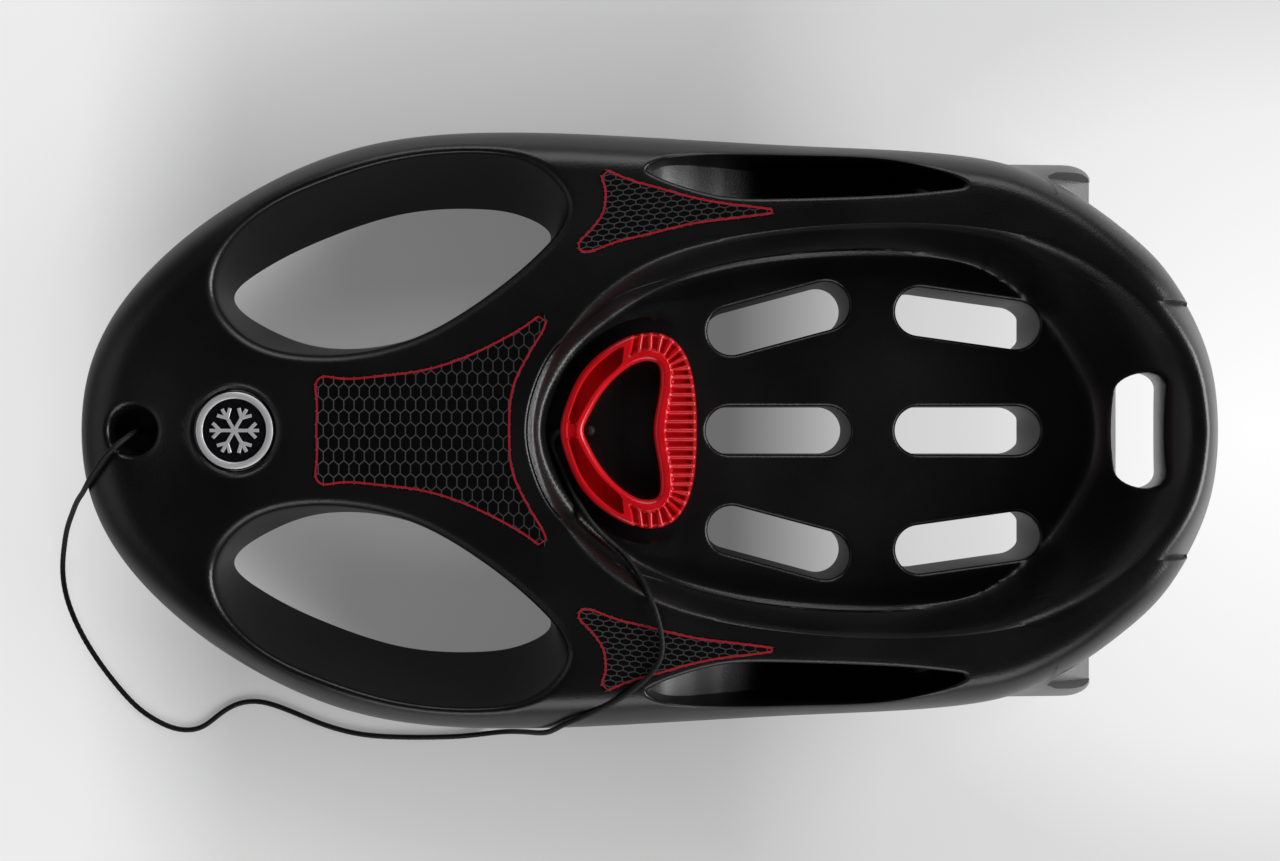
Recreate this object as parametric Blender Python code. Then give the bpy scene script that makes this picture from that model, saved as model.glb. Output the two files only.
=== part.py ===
"""Snow bob: a hollow blow-moulded sled with a tow rope, a red handle, a badge and three stickers.

Metres, +Z up. The nose points to -X, +Y is the rider's right, the runners stand on z = 0.
"""

import math

import bmesh
import bpy
import numpy as np
from mathutils import Vector
from mathutils.geometry import delaunay_2d_cdt
from mathutils.kdtree import KDTree

MM = 0.001
GAP = 0.3 * MM

# Hull shell
WALL = 3.0 * MM
RUNNER_THICKNESS = 3.0 * MM
KEEL_DEPTH = 9.0 * MM
BELLY_HEIGHT = RUNNER_THICKNESS + GAP + KEEL_DEPTH
SEAT_HEIGHT = 100.0 * MM
CROWN_FALL = 8.0 * MM
ROLL_BELOW = 38.0 * MM
VENT_RADIUS = 5.0 * MM
VENT_X = 380.0 * MM

# Half outline in plan, in millimetres, from the tip of the nose to the middle of the rear
OUTLINE = [
    (-508, 0), (-504, 42), (-491, 83), (-438, 156), (-366, 212), (-257, 260.5), (-128, 274.5), (2, 270),
    (150, 261), (275, 252), (330, 241), (370, 223), (405, 199.5), (430, 178), (456, 151), (480, 114), (501, 62),
    (508, 0),
]
# Stations along the hull, in millimetres: deck, parting line, rise of the belly and width of the rounded edge
CROWN = [(-508, 112), (-455, 119), (-400, 124), (-250, 130), (-98, 137), (50, 148), (200, 163), (350, 186),
         (440, 202), (508, 206)]
PARTING = [(-508, 92), (-400, 80), (-200, 70), (150, 70), (290, 82), (400, 122), (460, 146), (508, 156)]
BELLY_RISE = [(-508, 60), (-455, 42), (-400, 26), (-320, 9), (-240, 0), (-100, 0), (330, 0), (400, 8), (450, 34),
              (508, 76)]
ROLL_ABOVE = [(-508, 38), (-300, 38), (0, 40), (200, 38), (330, 34), (420, 26), (508, 22)]

# Foot opening: its rim on the deck and its narrower edge on the belly, point for point
EYE_RIM = [(-380, 126), (-356, 180), (-284, 222), (-213, 243), (-141, 248), (-95, 237), (-64, 197),
           (-87, 160), (-141, 116), (-195, 85), (-248, 70.5), (-302, 69), (-355, 87)]
EYE_FOOT = [(-382, 126), (-361, 149), (-303, 181), (-227, 207), (-151, 212), (-105, 203), (-84, 187),
            (-105, 158), (-141, 128), (-195, 96), (-248, 80.5), (-302, 79.5), (-352, 97)]
EYE_LIP = 9.0 * MM

# Bucket seat: half of its rim, the plan width of its wall and the rise of its floor
SEAT_RIM = [(-98, 0), (-88, 48), (-62, 96), (-10, 141), (60, 166), (141, 178), (254, 180), (336, 167),
            (396, 140), (438, 105), (466, 68), (480, 25), (482, 0)]
SEAT_WALL = [(-98, 8), (-60, 17), (-10, 25), (60, 21), (200, 17), (300, 24), (370, 50), (440, 85), (482, 97)]
SEAT_RISE = [(-98, 30), (-60, 21), (0, 6), (50, 0), (200, 0), (482, 0)]

# Seat slots in two rows, each a middle slot and a tilted pair
SLOT_LENGTH = 132.0 * MM
SLOT_WIDTH = 44.0 * MM
SLOT_LIP = 3.5 * MM
SLOT_SIDE = 102.0 * MM
FRONT_ROW_X = 127.5 * MM
FRONT_ROW_TILT = 15.0
REAR_ROW_X = 299.5 * MM
REAR_ROW_TILT = -8.0
REAR_ROW_FOOT_X = 362.0 * MM

# Hand slot in the backrest
HAND_SLOT_LENGTH = 100.0 * MM
HAND_SLOT_WIDTH = 29.0 * MM
HAND_SLOT_X = 440.0 * MM
HAND_SLOT_LIP = 5.0 * MM

# Side grip pocket
POCKET = [(5, 236), (30, 250), (100, 249.5), (176, 246.5), (254, 235.5), (287, 221), (273, 213), (196, 210),
          (137, 209.5), (89, 212), (40, 222.5)]
POCKET_FLOOR = 60.0 * MM
POCKET_WALL = 3.0 * MM
POCKET_LIP = 3.5 * MM

# Recess that the tow handle lies in
HANDLE_CLEARANCE = 14.5 * MM
RECESS_HEIGHT = SEAT_HEIGHT + 1.0 * MM
RECESS_WALL = 3.0 * MM
RECESS_TO_SLOT = 9.5 * MM
RECESS_END_X = FRONT_ROW_X - SLOT_LENGTH / 2 - RECESS_TO_SLOT

# Cup in the nose for the rope, a web with its hole, and the hollow for the knot below
NOSE_CUP_X = -455.0 * MM
CUP_RADIUS = 22.0 * MM
CUP_DEPTH = 26.0 * MM
CUP_WALL = 2.0 * MM
CUP_LIP = 6.0 * MM
KNOT_CUP_RADIUS = 15.0 * MM
WEB = 5.0 * MM

# Badge on the nose
BADGE_X = -360.5 * MM
BADGE_RADIUS = 34.5 * MM
BADGE_RING_HEIGHT = 1.6 * MM
BADGE_RING_WIDTH = 6.0 * MM
BADGE_MARGIN = 3.0 * MM
BADGE_SEAT_DEPTH = 2.0 * MM
BADGE_WALL = 1.0 * MM
BADGE_BASE_HEIGHT = 1.6 * MM
FIGURE_HEIGHT = 0.8 * MM
FIGURE_REACH = 22.0 * MM
FIGURE_STROKE = 2.4 * MM

# Keels under the sides, ending in tails behind the hull
KEEL_FRONT_X = -255.0 * MM
KEEL_FRONT_Y = 237.0 * MM
KEEL_REAR_X = 423.0 * MM
KEEL_REAR_Y = 229.5 * MM
KEEL_FADE = 45.0 * MM
KEEL_WIDTH = 36.0 * MM
KEEL_ROOT = 30.0 * MM
KEEL_SLANT = 14.0 * MM
TAIL_RISE_X = 225.0 * MM
TAIL_FRONT_X = 335.0 * MM
TAIL_TOP = 80.0 * MM
TAIL_CORNER = 14.0 * MM
TAIL_SHELF_X = 362.0 * MM
TAIL_SHELF_DEPTH = 24.0 * MM
TAIL_LIP_WIDTH = 12.0 * MM

# Steel runner strips and the screws that hold them
RUNNER_WIDTH = 20.0 * MM
RUNNER_FRONT_X = -205.0 * MM
RUNNER_REAR_X = 405.0 * MM
SCREW_RADIUS = 2.0 * MM
SCREW_LENGTH = 11.0 * MM
SCREW_HEAD_RADIUS = 4.0 * MM
SCREW_HEAD_HEIGHT = 2.2 * MM
SCREW_INSET = 25.0 * MM
SCREWS_A_RUNNER = 3

# Tow handle: half of its outer and inner outlines, point for point, in millimetres
HANDLE_OUTER = [(-70, 0), (-64, 26), (-51, 52), (-28, 74), (-4, 86), (14, 88.5), (30, 83.5), (42, 70),
                (49.5, 48), (53, 0)]
HANDLE_INNER = [(-49, 0), (-45, 12), (-37, 27), (-25, 43), (-10, 56), (6, 62.5), (17, 60), (20, 48),
                (17.5, 25), (14, 0)]
HANDLE_THICKNESS = 22.0 * MM
HANDLE_ROUNDING = 2.5 * MM
CHANNEL_END_X = -14.0 * MM
CHANNEL_DEPTH = 13.0 * MM
CHANNEL_WALL = 3.5 * MM
CHANNEL_WEB = 3.0 * MM
CHANNEL_DRAFT = 0.8 * MM
HANDLE_STEP = 8.0 * MM

# Rope and its knots
ROPE_RADIUS = 2.5 * MM
ROPE_HOLE_RADIUS = ROPE_RADIUS + 0.7 * MM
KNOT_RADIUS = 5.0 * MM
ROPE_HOLE_HEIGHT = 5.2 * MM
ROPE_STEP = 19.0 * MM
# The rope's route in millimetres: over the rim of the nose cup, down to the ground, round beside the hull, up over
# its side, over a sticker, down into the seat and round into the handle's hole
ROPE_ROUTE = [
    (-456, -1, 102), (-460, -5, 110), (-466, -11, 116.5), (-473, -18, 119.5), (-480, -25, 118.4), (-487, -34, 115.8),
    (-494, -43, 110.8), (-501, -51, 101.5), (-508, -57, 89), (-517, -64, 74), (-530, -78, 51), (-542, -94, 29),
    (-550, -112, 13), (-554, -131, 5), (-553.5, -148, 2.8), (-544, -180, 2.7), (-519, -224, 2.7),
    (-500, -248.5, 2.7), (-480.5, -268.5, 2.7), (-461.5, -281, 2.7), (-442, -288, 2.7), (-422.5, -286.5, 2.7),
    (-403.5, -273.5, 2.7), (-384, -263, 2.7), (-365, -261.5, 2.7), (-345.5, -266.5, 2.7), (-307, -282, 2.7),
    (-268.5, -292.5, 2.7), (-230, -295.5, 2.7), (-191.5, -295.5, 2.7), (-170, -294.5, 2.9), (-149, -292, 5),
    (-130, -288.5, 14), (-113, -285, 33), (-100, -281.5, 57), (-89, -277.8, 81), (-79, -273, 98.8),
    (-66, -264, 115.8), (-52, -257, 124.8), (-30, -246, 132), (-7, -231, 141), (3, -223, 143), (12, -214, 144.2),
    (18, -205, 145), (21, -195, 145.6), (21, -184, 146), (19, -172, 147), (15, -158, 148), (10.5, -147, 145.2),
    (5, -135, 134), (-4, -122, 121.5), (-13, -111, 115.4), (-26, -99, 117), (-37, -88, 120.3), (-45, -78, 122),
    (-51, -69, 119.5), (-57, -59.5, 113), (-62, -50, 107.5), (-67, -39, 105.3), (-72, -28, 105.2),
    (-75.8, -19, 105.8), (-77.6, -11, 106.5), (-76.9, -7, 106.5), (-74.8, -3.4, 106.5), (-71.3, -0.9, 106.5),
]

# Stickers: corners, and the middle of the edge that follows each, in millimetres
STICKER_THICKNESS = 0.5 * MM
STICKER_GAP = 0.5 * MM
STICKER_STEP = 17.0 * MM
FRONT_STICKER = [((-288, -49), (-288, 0)), ((-288, 49), (-186, 65.5)), ((-84, 101), (-113.5, 0)),
                 ((-84, -101), (-186, -65.5))]
SIDE_STICKER = [((-36, 234), (-31, 205)), ((-59, 161), (28.5, 181)), ((116, 195.5), (38, 206))]

# Meshing of the hull: distance between points along curves and across plain surface, and where rings of points
# lie, as shares of the width of a rounded edge or of the seat's wall
CURVE_STEP = 30.0 * MM
DETAIL_STEP = 15.0 * MM
DECK_STEP = 40.0 * MM
BELLY_STEP = 70.0 * MM
SLOT_ARC_POINTS = 6
CREASE_CLEARANCE = 2.0 * MM
SEAT_BACK_X = 300.0 * MM
SEAT_BACK_STEP = 22.0 * MM
DECK_SHARES = (0.1, 0.4, 1.0)
BELLY_SHARES = (0.15, 0.5, 1.0)
SEAT_SHARES = (0.0, 0.35, 0.65, 1.0)
INNER_DECK_SHARES = (0.2, 1.0)
INNER_BELLY_SHARES = (0.3, 1.0)
INNER_SEAT_SHARES = (0.0, 0.5, 1.0)


def profile(stations):
    """A smooth function of x through stations in millimetres, level where they peak, dip or stay level."""
    places, values = (np.array(stations, float) * MM).T
    rises = np.diff(values) / np.diff(places)
    before = np.concatenate([rises[:1], rises])
    after = np.concatenate([rises, rises[-1:]])
    total = before + after
    slopes = np.where(before * after > 0, 2 * before * after / np.where(total == 0, 1, total), 0)

    def value(x):
        x = np.clip(x, places[0], places[-1])
        low = np.clip(np.searchsorted(places, x) - 1, 0, len(places) - 2)
        span = places[low + 1] - places[low]
        t = (x - places[low]) / span
        start = (1 + 2 * t) * (1 - t) ** 2 * values[low] + t * (1 - t) ** 2 * span * slopes[low]
        end = t * t * (3 - 2 * t) * values[low + 1] - t * t * (1 - t) * span * slopes[low + 1]
        return start + end

    return value


CROWN_AT = profile(CROWN)
PARTING_AT = profile(PARTING)
BELLY_RISE_AT = profile(BELLY_RISE)
ROLL_AT = profile(ROLL_ABOVE)
SEAT_WALL_AT = profile(SEAT_WALL)
SEAT_RISE_AT = profile(SEAT_RISE)


# Plan curves

def whole(half):
    """The closed outline whose +Y half, from axis to axis, is given in millimetres."""
    other = [(x, -y) for x, y in half[-2:0:-1]]
    return [*half, *other]


def span_counts(points, step):
    """How many points each span of a closed curve gets, for about one step between them."""
    knots = np.array(points, float) * MM
    lengths = np.linalg.norm(np.roll(knots, -1, 0) - knots, axis=1)
    return np.maximum(1, np.round(lengths / step)).astype(int)


def cubic_span(start, end, start_bend, end_bend, length, count):
    """Points along one span of a cubic spline, from its start up to but without its end."""
    t = (np.arange(count) / count)[:, None]
    line = (1 - t) * start + t * end
    return line + length ** 2 / 6 * (((1 - t) ** 3 - (1 - t)) * start_bend + (t ** 3 - t) * end_bend)


def closed_curve(points, counts):
    """Points on the smooth closed curve through points in millimetres: a periodic cubic spline."""
    knots = np.array(points, float) * MM
    total = len(knots)
    following = np.roll(knots, -1, 0)
    lengths = np.linalg.norm(following - knots, axis=1)
    slopes = (following - knots) / lengths[:, None]
    matrix = np.zeros((total, total))
    for i in range(total):
        matrix[i, i - 1] += lengths[i - 1]
        matrix[i, i] += 2 * (lengths[i - 1] + lengths[i])
        matrix[i, (i + 1) % total] += lengths[i]
    bends = np.linalg.solve(matrix, 6 * (slopes - np.roll(slopes, 1, 0)))
    spans = []
    for i, count in enumerate(counts):
        after = (i + 1) % total
        spans.append(cubic_span(knots[i], knots[after], bends[i], bends[after], lengths[i], count))
    return clockwise_off(np.concatenate(spans))


def open_curve(points, step):
    """Points on the smooth curve from the first to the last of points in millimetres: a natural cubic spline."""
    knots = np.array(points, float) * MM
    total = len(knots)
    lengths = np.linalg.norm(np.diff(knots, axis=0), axis=1)
    slopes = np.diff(knots, axis=0) / lengths[:, None]
    matrix = np.eye(total)
    bend_sources = np.zeros_like(knots)
    for i in range(1, total - 1):
        matrix[i, i - 1:i + 2] = (lengths[i - 1], 2 * (lengths[i - 1] + lengths[i]), lengths[i])
        bend_sources[i] = 6 * (slopes[i] - slopes[i - 1])
    bends = np.linalg.solve(matrix, bend_sources)
    spans = []
    for i, length in enumerate(lengths):
        count = max(1, round(length / step))
        spans.append(cubic_span(knots[i], knots[i + 1], bends[i], bends[i + 1], length, count))
    return np.concatenate([*spans, knots[-1:]])


def clockwise_off(loop):
    """The loop, turned round where it runs clockwise."""
    x, y = loop.T
    area = np.sum(x * np.roll(y, -1) - y * np.roll(x, -1))
    return loop if area > 0 else loop[::-1]


def grown(loop, distance):
    """The loop moved outwards by a distance, or by one distance a point."""
    along = np.roll(loop, -1, 0) - np.roll(loop, 1, 0)
    along /= np.linalg.norm(along, axis=1)[:, None]
    outward = np.stack([along[:, 1], -along[:, 0]], axis=1)
    return loop + outward * np.reshape(distance, (-1, 1))


def mirrored(loop):
    """The loop on the other side of the hull, still running anticlockwise."""
    return (loop * (1, -1))[::-1]


def round_slot(length, width, centre, angle, step):
    """A slot with round ends, its long axis turned from +X by the angle in degrees."""
    radius = width / 2
    reach = length / 2 - radius
    arc_points = max(SLOT_ARC_POINTS, round(math.pi * radius / step))
    side_points = max(1, round(2 * reach / step))
    points = []
    for end in (1, -1):
        for i in range(arc_points):
            turn = -math.pi / 2 + math.pi * i / arc_points
            points.append((end * (reach + radius * math.cos(turn)), end * radius * math.sin(turn)))
        for i in range(side_points):
            points.append((end * (reach - 2 * reach * i / side_points), end * radius))
    spin = math.radians(angle)
    turned = np.array(points) @ np.array([[math.cos(spin), math.sin(spin)], [-math.sin(spin), math.cos(spin)]])
    return turned + np.array(centre)


def circle(radius, centre_x, step):
    """Points on a circle about the hull's centre line."""
    count = max(12, round(2 * math.pi * radius / step))
    turns = 2 * math.pi * np.arange(count) / count
    return np.stack([centre_x + radius * np.cos(turns), radius * np.sin(turns)], axis=1)


def inside_distance(points, loop):
    """Distance of each point from the loop, positive inside it and negative outside."""
    start = loop
    end = np.roll(loop, -1, 0)
    run = end - start
    result = np.empty(len(points))
    for first in range(0, len(points), 2000):
        block = points[first:first + 2000]
        to_start = block[:, None] - start[None]
        share = np.clip(np.sum(to_start * run, axis=2) / np.sum(run * run, axis=1), 0, 1)
        gap = to_start - share[:, :, None] * run
        nearest = np.sqrt(np.min(np.sum(gap * gap, axis=2), axis=1))
        above_start = block[:, None, 1] >= start[None, :, 1]
        above_end = block[:, None, 1] >= end[None, :, 1]
        side = run[:, 0] * to_start[:, :, 1] - run[:, 1] * to_start[:, :, 0]
        crossings = np.sum(above_start & ~above_end & (side < 0), axis=1)
        crossings += np.sum(~above_start & above_end & (side > 0), axis=1)
        result[first:first + 2000] = np.where(crossings % 2 == 1, nearest, -nearest)
    return result


# Heights of the hull's surfaces

def ease(share):
    """A smooth step from 0 to 1."""
    share = np.clip(share, 0, 1)
    return share * share * (3 - 2 * share)


def round_over(distance, radius):
    """How far a quarter round has fallen at a distance inside the edge that it ends at."""
    across = 1 - np.clip(distance / radius, 0, 1)
    return radius * (1 - np.sqrt(1 - across * across))


def sink(height, floor, inside, wall, lip):
    """Lower the height to the floor of a pocket with a steep wall and a rounded lip."""
    depth = np.maximum(height - floor, 0)
    lip = np.minimum(lip, depth / 2)
    fallen = np.where(inside < 0, round_over(-inside, np.maximum(lip, 1e-9)), 0)
    wall_share = np.clip(inside / wall, 0, 1)
    fallen = np.where(inside >= 0, lip + (depth - lip) * wall_share, fallen)
    return height - fallen


class Plan:
    """The hull's plan curves, all of them moved into the material by the skin."""

    def __init__(self, skin):
        self.skin = skin
        step = DETAIL_STEP
        outline = closed_curve(whole(OUTLINE), span_counts(whole(OUTLINE), CURVE_STEP))
        self.outline = grown(outline, -skin)
        counts = span_counts(EYE_RIM, step)
        self.eye_rim = grown(closed_curve(EYE_RIM, counts), skin)
        self.eye_foot = grown(closed_curve(EYE_FOOT, counts), skin)
        self.seat_rim = grown(closed_curve(whole(SEAT_RIM), span_counts(whole(SEAT_RIM), CURVE_STEP)), skin)
        self.pocket = grown(closed_curve(POCKET, span_counts(POCKET, step)), skin)
        self.recess = grown(handle_outline(step), HANDLE_CLEARANCE + skin)
        self.recess[:, 0] = np.minimum(self.recess[:, 0], RECESS_END_X + skin)
        self.hand_slot = grown(
            round_slot(HAND_SLOT_LENGTH, HAND_SLOT_WIDTH, (HAND_SLOT_X, 0), 90, step), skin)
        self.slots = []
        self.slot_feet = []
        for row_x, tilt, foot_x in ((FRONT_ROW_X, FRONT_ROW_TILT, None), (REAR_ROW_X, REAR_ROW_TILT, REAR_ROW_FOOT_X)):
            for side in (-1, 0, 1):
                slot = round_slot(SLOT_LENGTH, SLOT_WIDTH, (row_x, side * SLOT_SIDE), side * tilt, step)
                foot = slot.copy()
                if foot_x is not None:
                    foot[:, 0] = np.minimum(foot[:, 0], foot_x)
                self.slots.append(grown(slot, skin))
                self.slot_feet.append(grown(slot, skin) + (foot - slot))

    def holes(self):
        """Each through hole as its rim on the deck, its edge on the belly and its lip's radius."""
        nose_radius = ROPE_HOLE_RADIUS if self.skin == 0 else CUP_RADIUS + self.skin
        nose_hole = circle(nose_radius, NOSE_CUP_X, DETAIL_STEP)
        found = [
            (nose_hole, nose_hole, 0),
            (self.eye_rim, self.eye_foot, EYE_LIP),
            (mirrored(self.eye_rim), mirrored(self.eye_foot), EYE_LIP),
            (self.hand_slot, self.hand_slot, HAND_SLOT_LIP),
        ]
        found += [(slot, foot, SLOT_LIP) for slot, foot in zip(self.slots, self.slot_feet)]
        return found

    def deck(self, points):
        """Height of the upper surface over each point of the plan."""
        x, y = points.T
        right = np.stack([x, np.abs(y)], axis=1)
        half_width = np.max(self.outline[:, 1])
        height = CROWN_AT(x) - CROWN_FALL * (y / half_width) ** 2 - self.skin
        roll = ROLL_AT(x) - self.skin
        across = 1 - np.clip(inside_distance(points, self.outline) / roll, 0, 1)
        height -= (height - PARTING_AT(x)) * (1 - np.sqrt(1 - across * across))
        seat_floor = SEAT_HEIGHT + SEAT_RISE_AT(x) - self.skin
        height += (seat_floor - height) * ease(inside_distance(points, self.seat_rim) / SEAT_WALL_AT(x))
        height = sink(height, RECESS_HEIGHT - self.skin, inside_distance(points, self.recess), RECESS_WALL, 0)
        height = sink(height, POCKET_FLOOR - self.skin, inside_distance(right, self.pocket), POCKET_WALL,
                      max(POCKET_LIP - self.skin, 0))
        from_badge = np.hypot(x - BADGE_X, y)
        badge_seat = BADGE_RADIUS + BADGE_MARGIN + self.skin
        badge_floor = CROWN_AT(BADGE_X) - BADGE_SEAT_DEPTH - self.skin
        height = sink(height, badge_floor, badge_seat - from_badge, BADGE_WALL, 0)
        if self.skin == 0:
            cup_floor = CROWN_AT(NOSE_CUP_X) - CUP_DEPTH
            from_cup = np.hypot(x - NOSE_CUP_X, y)
            height = sink(height, cup_floor, CUP_RADIUS - from_cup, CUP_WALL, CUP_LIP)
        for rim, _foot, lip in self.holes():
            lip = max(lip - self.skin, 0)
            if lip > 0:
                height -= round_over(-inside_distance(points, rim), lip)
        return height

    def belly(self, points):
        """Height of the underside over each point of the plan."""
        x, y = points.T
        height = BELLY_HEIGHT + BELLY_RISE_AT(x) + self.skin
        roll = ROLL_BELOW - self.skin
        across = 1 - np.clip(inside_distance(points, self.outline) / roll, 0, 1)
        height += (PARTING_AT(x) - height) * (1 - np.sqrt(1 - across * across))
        if self.skin == 0:
            ceiling = CROWN_AT(NOSE_CUP_X) - CUP_DEPTH - WEB
            from_cup = np.hypot(x - NOSE_CUP_X, y)
            height = -sink(-height, -ceiling, KNOT_CUP_RADIUS - from_cup, CUP_WALL, 0)
        return height


# Surfaces

def lifted(loop, height):
    """The plan loop as points in space at the height that a function gives."""
    return np.column_stack([loop, height(loop)])


def lattice(outline, step):
    """Points in staggered rows over the outline's box."""
    low = outline.min(axis=0)
    high = outline.max(axis=0)
    row_step = step * math.sqrt(3) / 2
    rows = math.ceil((high[1] - low[1]) / row_step / 2)
    columns = math.ceil((high[0] - low[0]) / step)
    points = []
    for row in range(-rows, rows + 1):
        shift = step / 2 if row % 2 else 0
        for column in range(columns + 1):
            points.append((low[0] + shift + column * step, row * row_step))
    return np.array(points)


def sheet(outline, holes, creases, rings, height):
    """Vertices and triangles of a surface over the outline, with holes, through the creases and rings of points.

    Edges follow the creases. Each ring is given with the least distance that its points keep from all others.
    """
    loops = [outline, *holes, *creases]
    placed = np.concatenate(loops)
    for ring, distance in rings:
        room = inside_distance(ring, outline)
        for hole in holes:
            room = np.minimum(room, -inside_distance(ring, hole))
        for crease in creases:
            off_crease = np.abs(inside_distance(ring, crease))
            room = np.where(off_crease < CREASE_CLEARANCE, 0, room)
        ring = ring[room > distance / 2]
        tree = KDTree(len(placed))
        for index, (x, y) in enumerate(placed):
            tree.insert((x, y, 0), index)
        tree.balance()
        free = [tree.find((x, y, 0))[2] > distance for x, y in ring]
        placed = np.concatenate([placed, ring[free]])
    edges = []
    start = 0
    for loop in loops:
        edges += [(start + i, start + (i + 1) % len(loop)) for i in range(len(loop))]
        start += len(loop)
    result = delaunay_2d_cdt([Vector(point) for point in placed.tolist()], edges, [], 0, 1e-7)
    points = np.array([placed[sources[0]] for sources in result[3]])
    faces = np.array(result[2])
    middles = points[faces].mean(axis=1)
    kept = inside_distance(middles, outline) > 0
    for hole in holes:
        kept &= inside_distance(middles, hole) < 0
    return lifted(points, height), faces[kept]


def band(lower, upper):
    """Vertices and faces of a wall between two loops of as many points."""
    count = len(lower)
    faces = []
    for i in range(count):
        after = (i + 1) % count
        faces.append((i, after, count + after, count + i))
    return np.concatenate([lower, upper]), faces


def welded_mesh(name, pieces):
    """One closed mesh from surfaces whose edges lie on each other."""
    work = bmesh.new()
    for vertices, faces in pieces:
        made = [work.verts.new(point) for point in vertices.tolist()]
        for face in faces:
            work.faces.new([made[index] for index in face])
    bmesh.ops.remove_doubles(work, verts=work.verts, dist=1e-6)
    loose = [vertex for vertex in work.verts if not vertex.link_faces]
    bmesh.ops.delete(work, geom=loose, context="VERTS")
    bmesh.ops.triangulate(work, faces=work.faces)
    bmesh.ops.recalc_face_normals(work, faces=work.faces)
    mesh = bpy.data.meshes.new(name)
    work.to_mesh(mesh)
    work.free()
    return mesh


def deck_creases(plan, stickers):
    """Edges of the steep walls of the deck's pockets, recess and seats, of their rounded lips and of the stickers."""
    creases = [sticker_outline for sticker_outline, _inner in stickers]
    for side in (plan.pocket, mirrored(plan.pocket)):
        creases += [side, grown(side, -POCKET_WALL)]
        if plan.skin == 0:
            creases.append(grown(side, POCKET_LIP))
    creases += [plan.recess, grown(plan.recess, -RECESS_WALL)]
    badge_seat = BADGE_RADIUS + BADGE_MARGIN + plan.skin
    creases += [circle(radius, BADGE_X, DETAIL_STEP) for radius in (badge_seat, badge_seat - BADGE_WALL)]
    if plan.skin == 0:
        for radius in (CUP_RADIUS - CUP_WALL, CUP_RADIUS, CUP_RADIUS + CUP_LIP * 0.3, CUP_RADIUS + CUP_LIP):
            creases.append(circle(radius, NOSE_CUP_X, DETAIL_STEP))
    return creases


def deck_rings(plan, stickers):
    """Rings of points that carry the deck's rounded edges and the seat's wall."""
    inner = plan.skin > 0
    rings = []
    for rim, _foot, lip in plan.holes():
        rings += [(grown(rim, lip * share), lip * 0.15) for share in (0.3, 1.0)]
    for share in INNER_DECK_SHARES if inner else DECK_SHARES:
        rings.append((grown(plan.outline, -share * ROLL_AT(plan.outline[:, 0])), 2 * MM))
    for share in INNER_SEAT_SHARES if inner else SEAT_SHARES:
        depth = share * SEAT_WALL_AT(plan.seat_rim[:, 0])
        ring = grown(plan.seat_rim, -depth)
        unfolded = np.abs(inside_distance(ring, plan.seat_rim) - depth) < MM
        rings.append((ring[unfolded], 4 * MM))
    seat_back = lattice(plan.outline, SEAT_BACK_STEP)
    on_wall = (inside_distance(seat_back, plan.seat_rim) > 0) & (seat_back[:, 0] > SEAT_BACK_X)
    rings.append((seat_back[on_wall], SEAT_BACK_STEP * 0.4))
    rings.append((lattice(plan.outline, DECK_STEP), DECK_STEP * 0.6))
    for sticker_outline, _inner in stickers:
        rings = [(ring[inside_distance(ring, sticker_outline) < 0], distance) for ring, distance in rings]
    return [(sticker_inner, STICKER_STEP / 4) for _outline, sticker_inner in stickers] + rings


def belly_creases(plan):
    """Edges of the wall of the hollow for the nose knot."""
    if plan.skin > 0:
        return []
    return [circle(radius, NOSE_CUP_X, DETAIL_STEP) for radius in (KNOT_CUP_RADIUS, KNOT_CUP_RADIUS - CUP_WALL)]


def belly_rings(plan):
    """Rings of points that carry the underside's rounded edge."""
    shares = INNER_BELLY_SHARES if plan.skin > 0 else BELLY_SHARES
    rings = [(grown(plan.outline, -share * ROLL_BELOW), 2 * MM) for share in shares]
    rings.append((lattice(plan.outline, BELLY_STEP), BELLY_STEP * 0.6))
    return rings


def hull_skin(name, skin, stickers):
    """The closed surface that lies the skin's depth inside the hull's outer faces."""
    plan = Plan(skin)
    rims = [rim for rim, _foot, _lip in plan.holes()]
    feet = [foot for _rim, foot, _lip in plan.holes()]
    upper = sheet(plan.outline, rims, deck_creases(plan, stickers), deck_rings(plan, stickers), plan.deck)
    under = sheet(plan.outline, feet, belly_creases(plan), belly_rings(plan), plan.belly)
    walls = [band(lifted(foot, plan.belly), lifted(rim, plan.deck)) for rim, foot in zip(rims, feet)]
    return welded_mesh(name, [upper, under, *walls])


def keel_middle(x):
    """How far the middle of a keel lies from the hull's centre line."""
    share = (x - KEEL_FRONT_X) / (KEEL_REAR_X - KEEL_FRONT_X)
    return KEEL_FRONT_Y + (KEEL_REAR_Y - KEEL_FRONT_Y) * share


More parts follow.
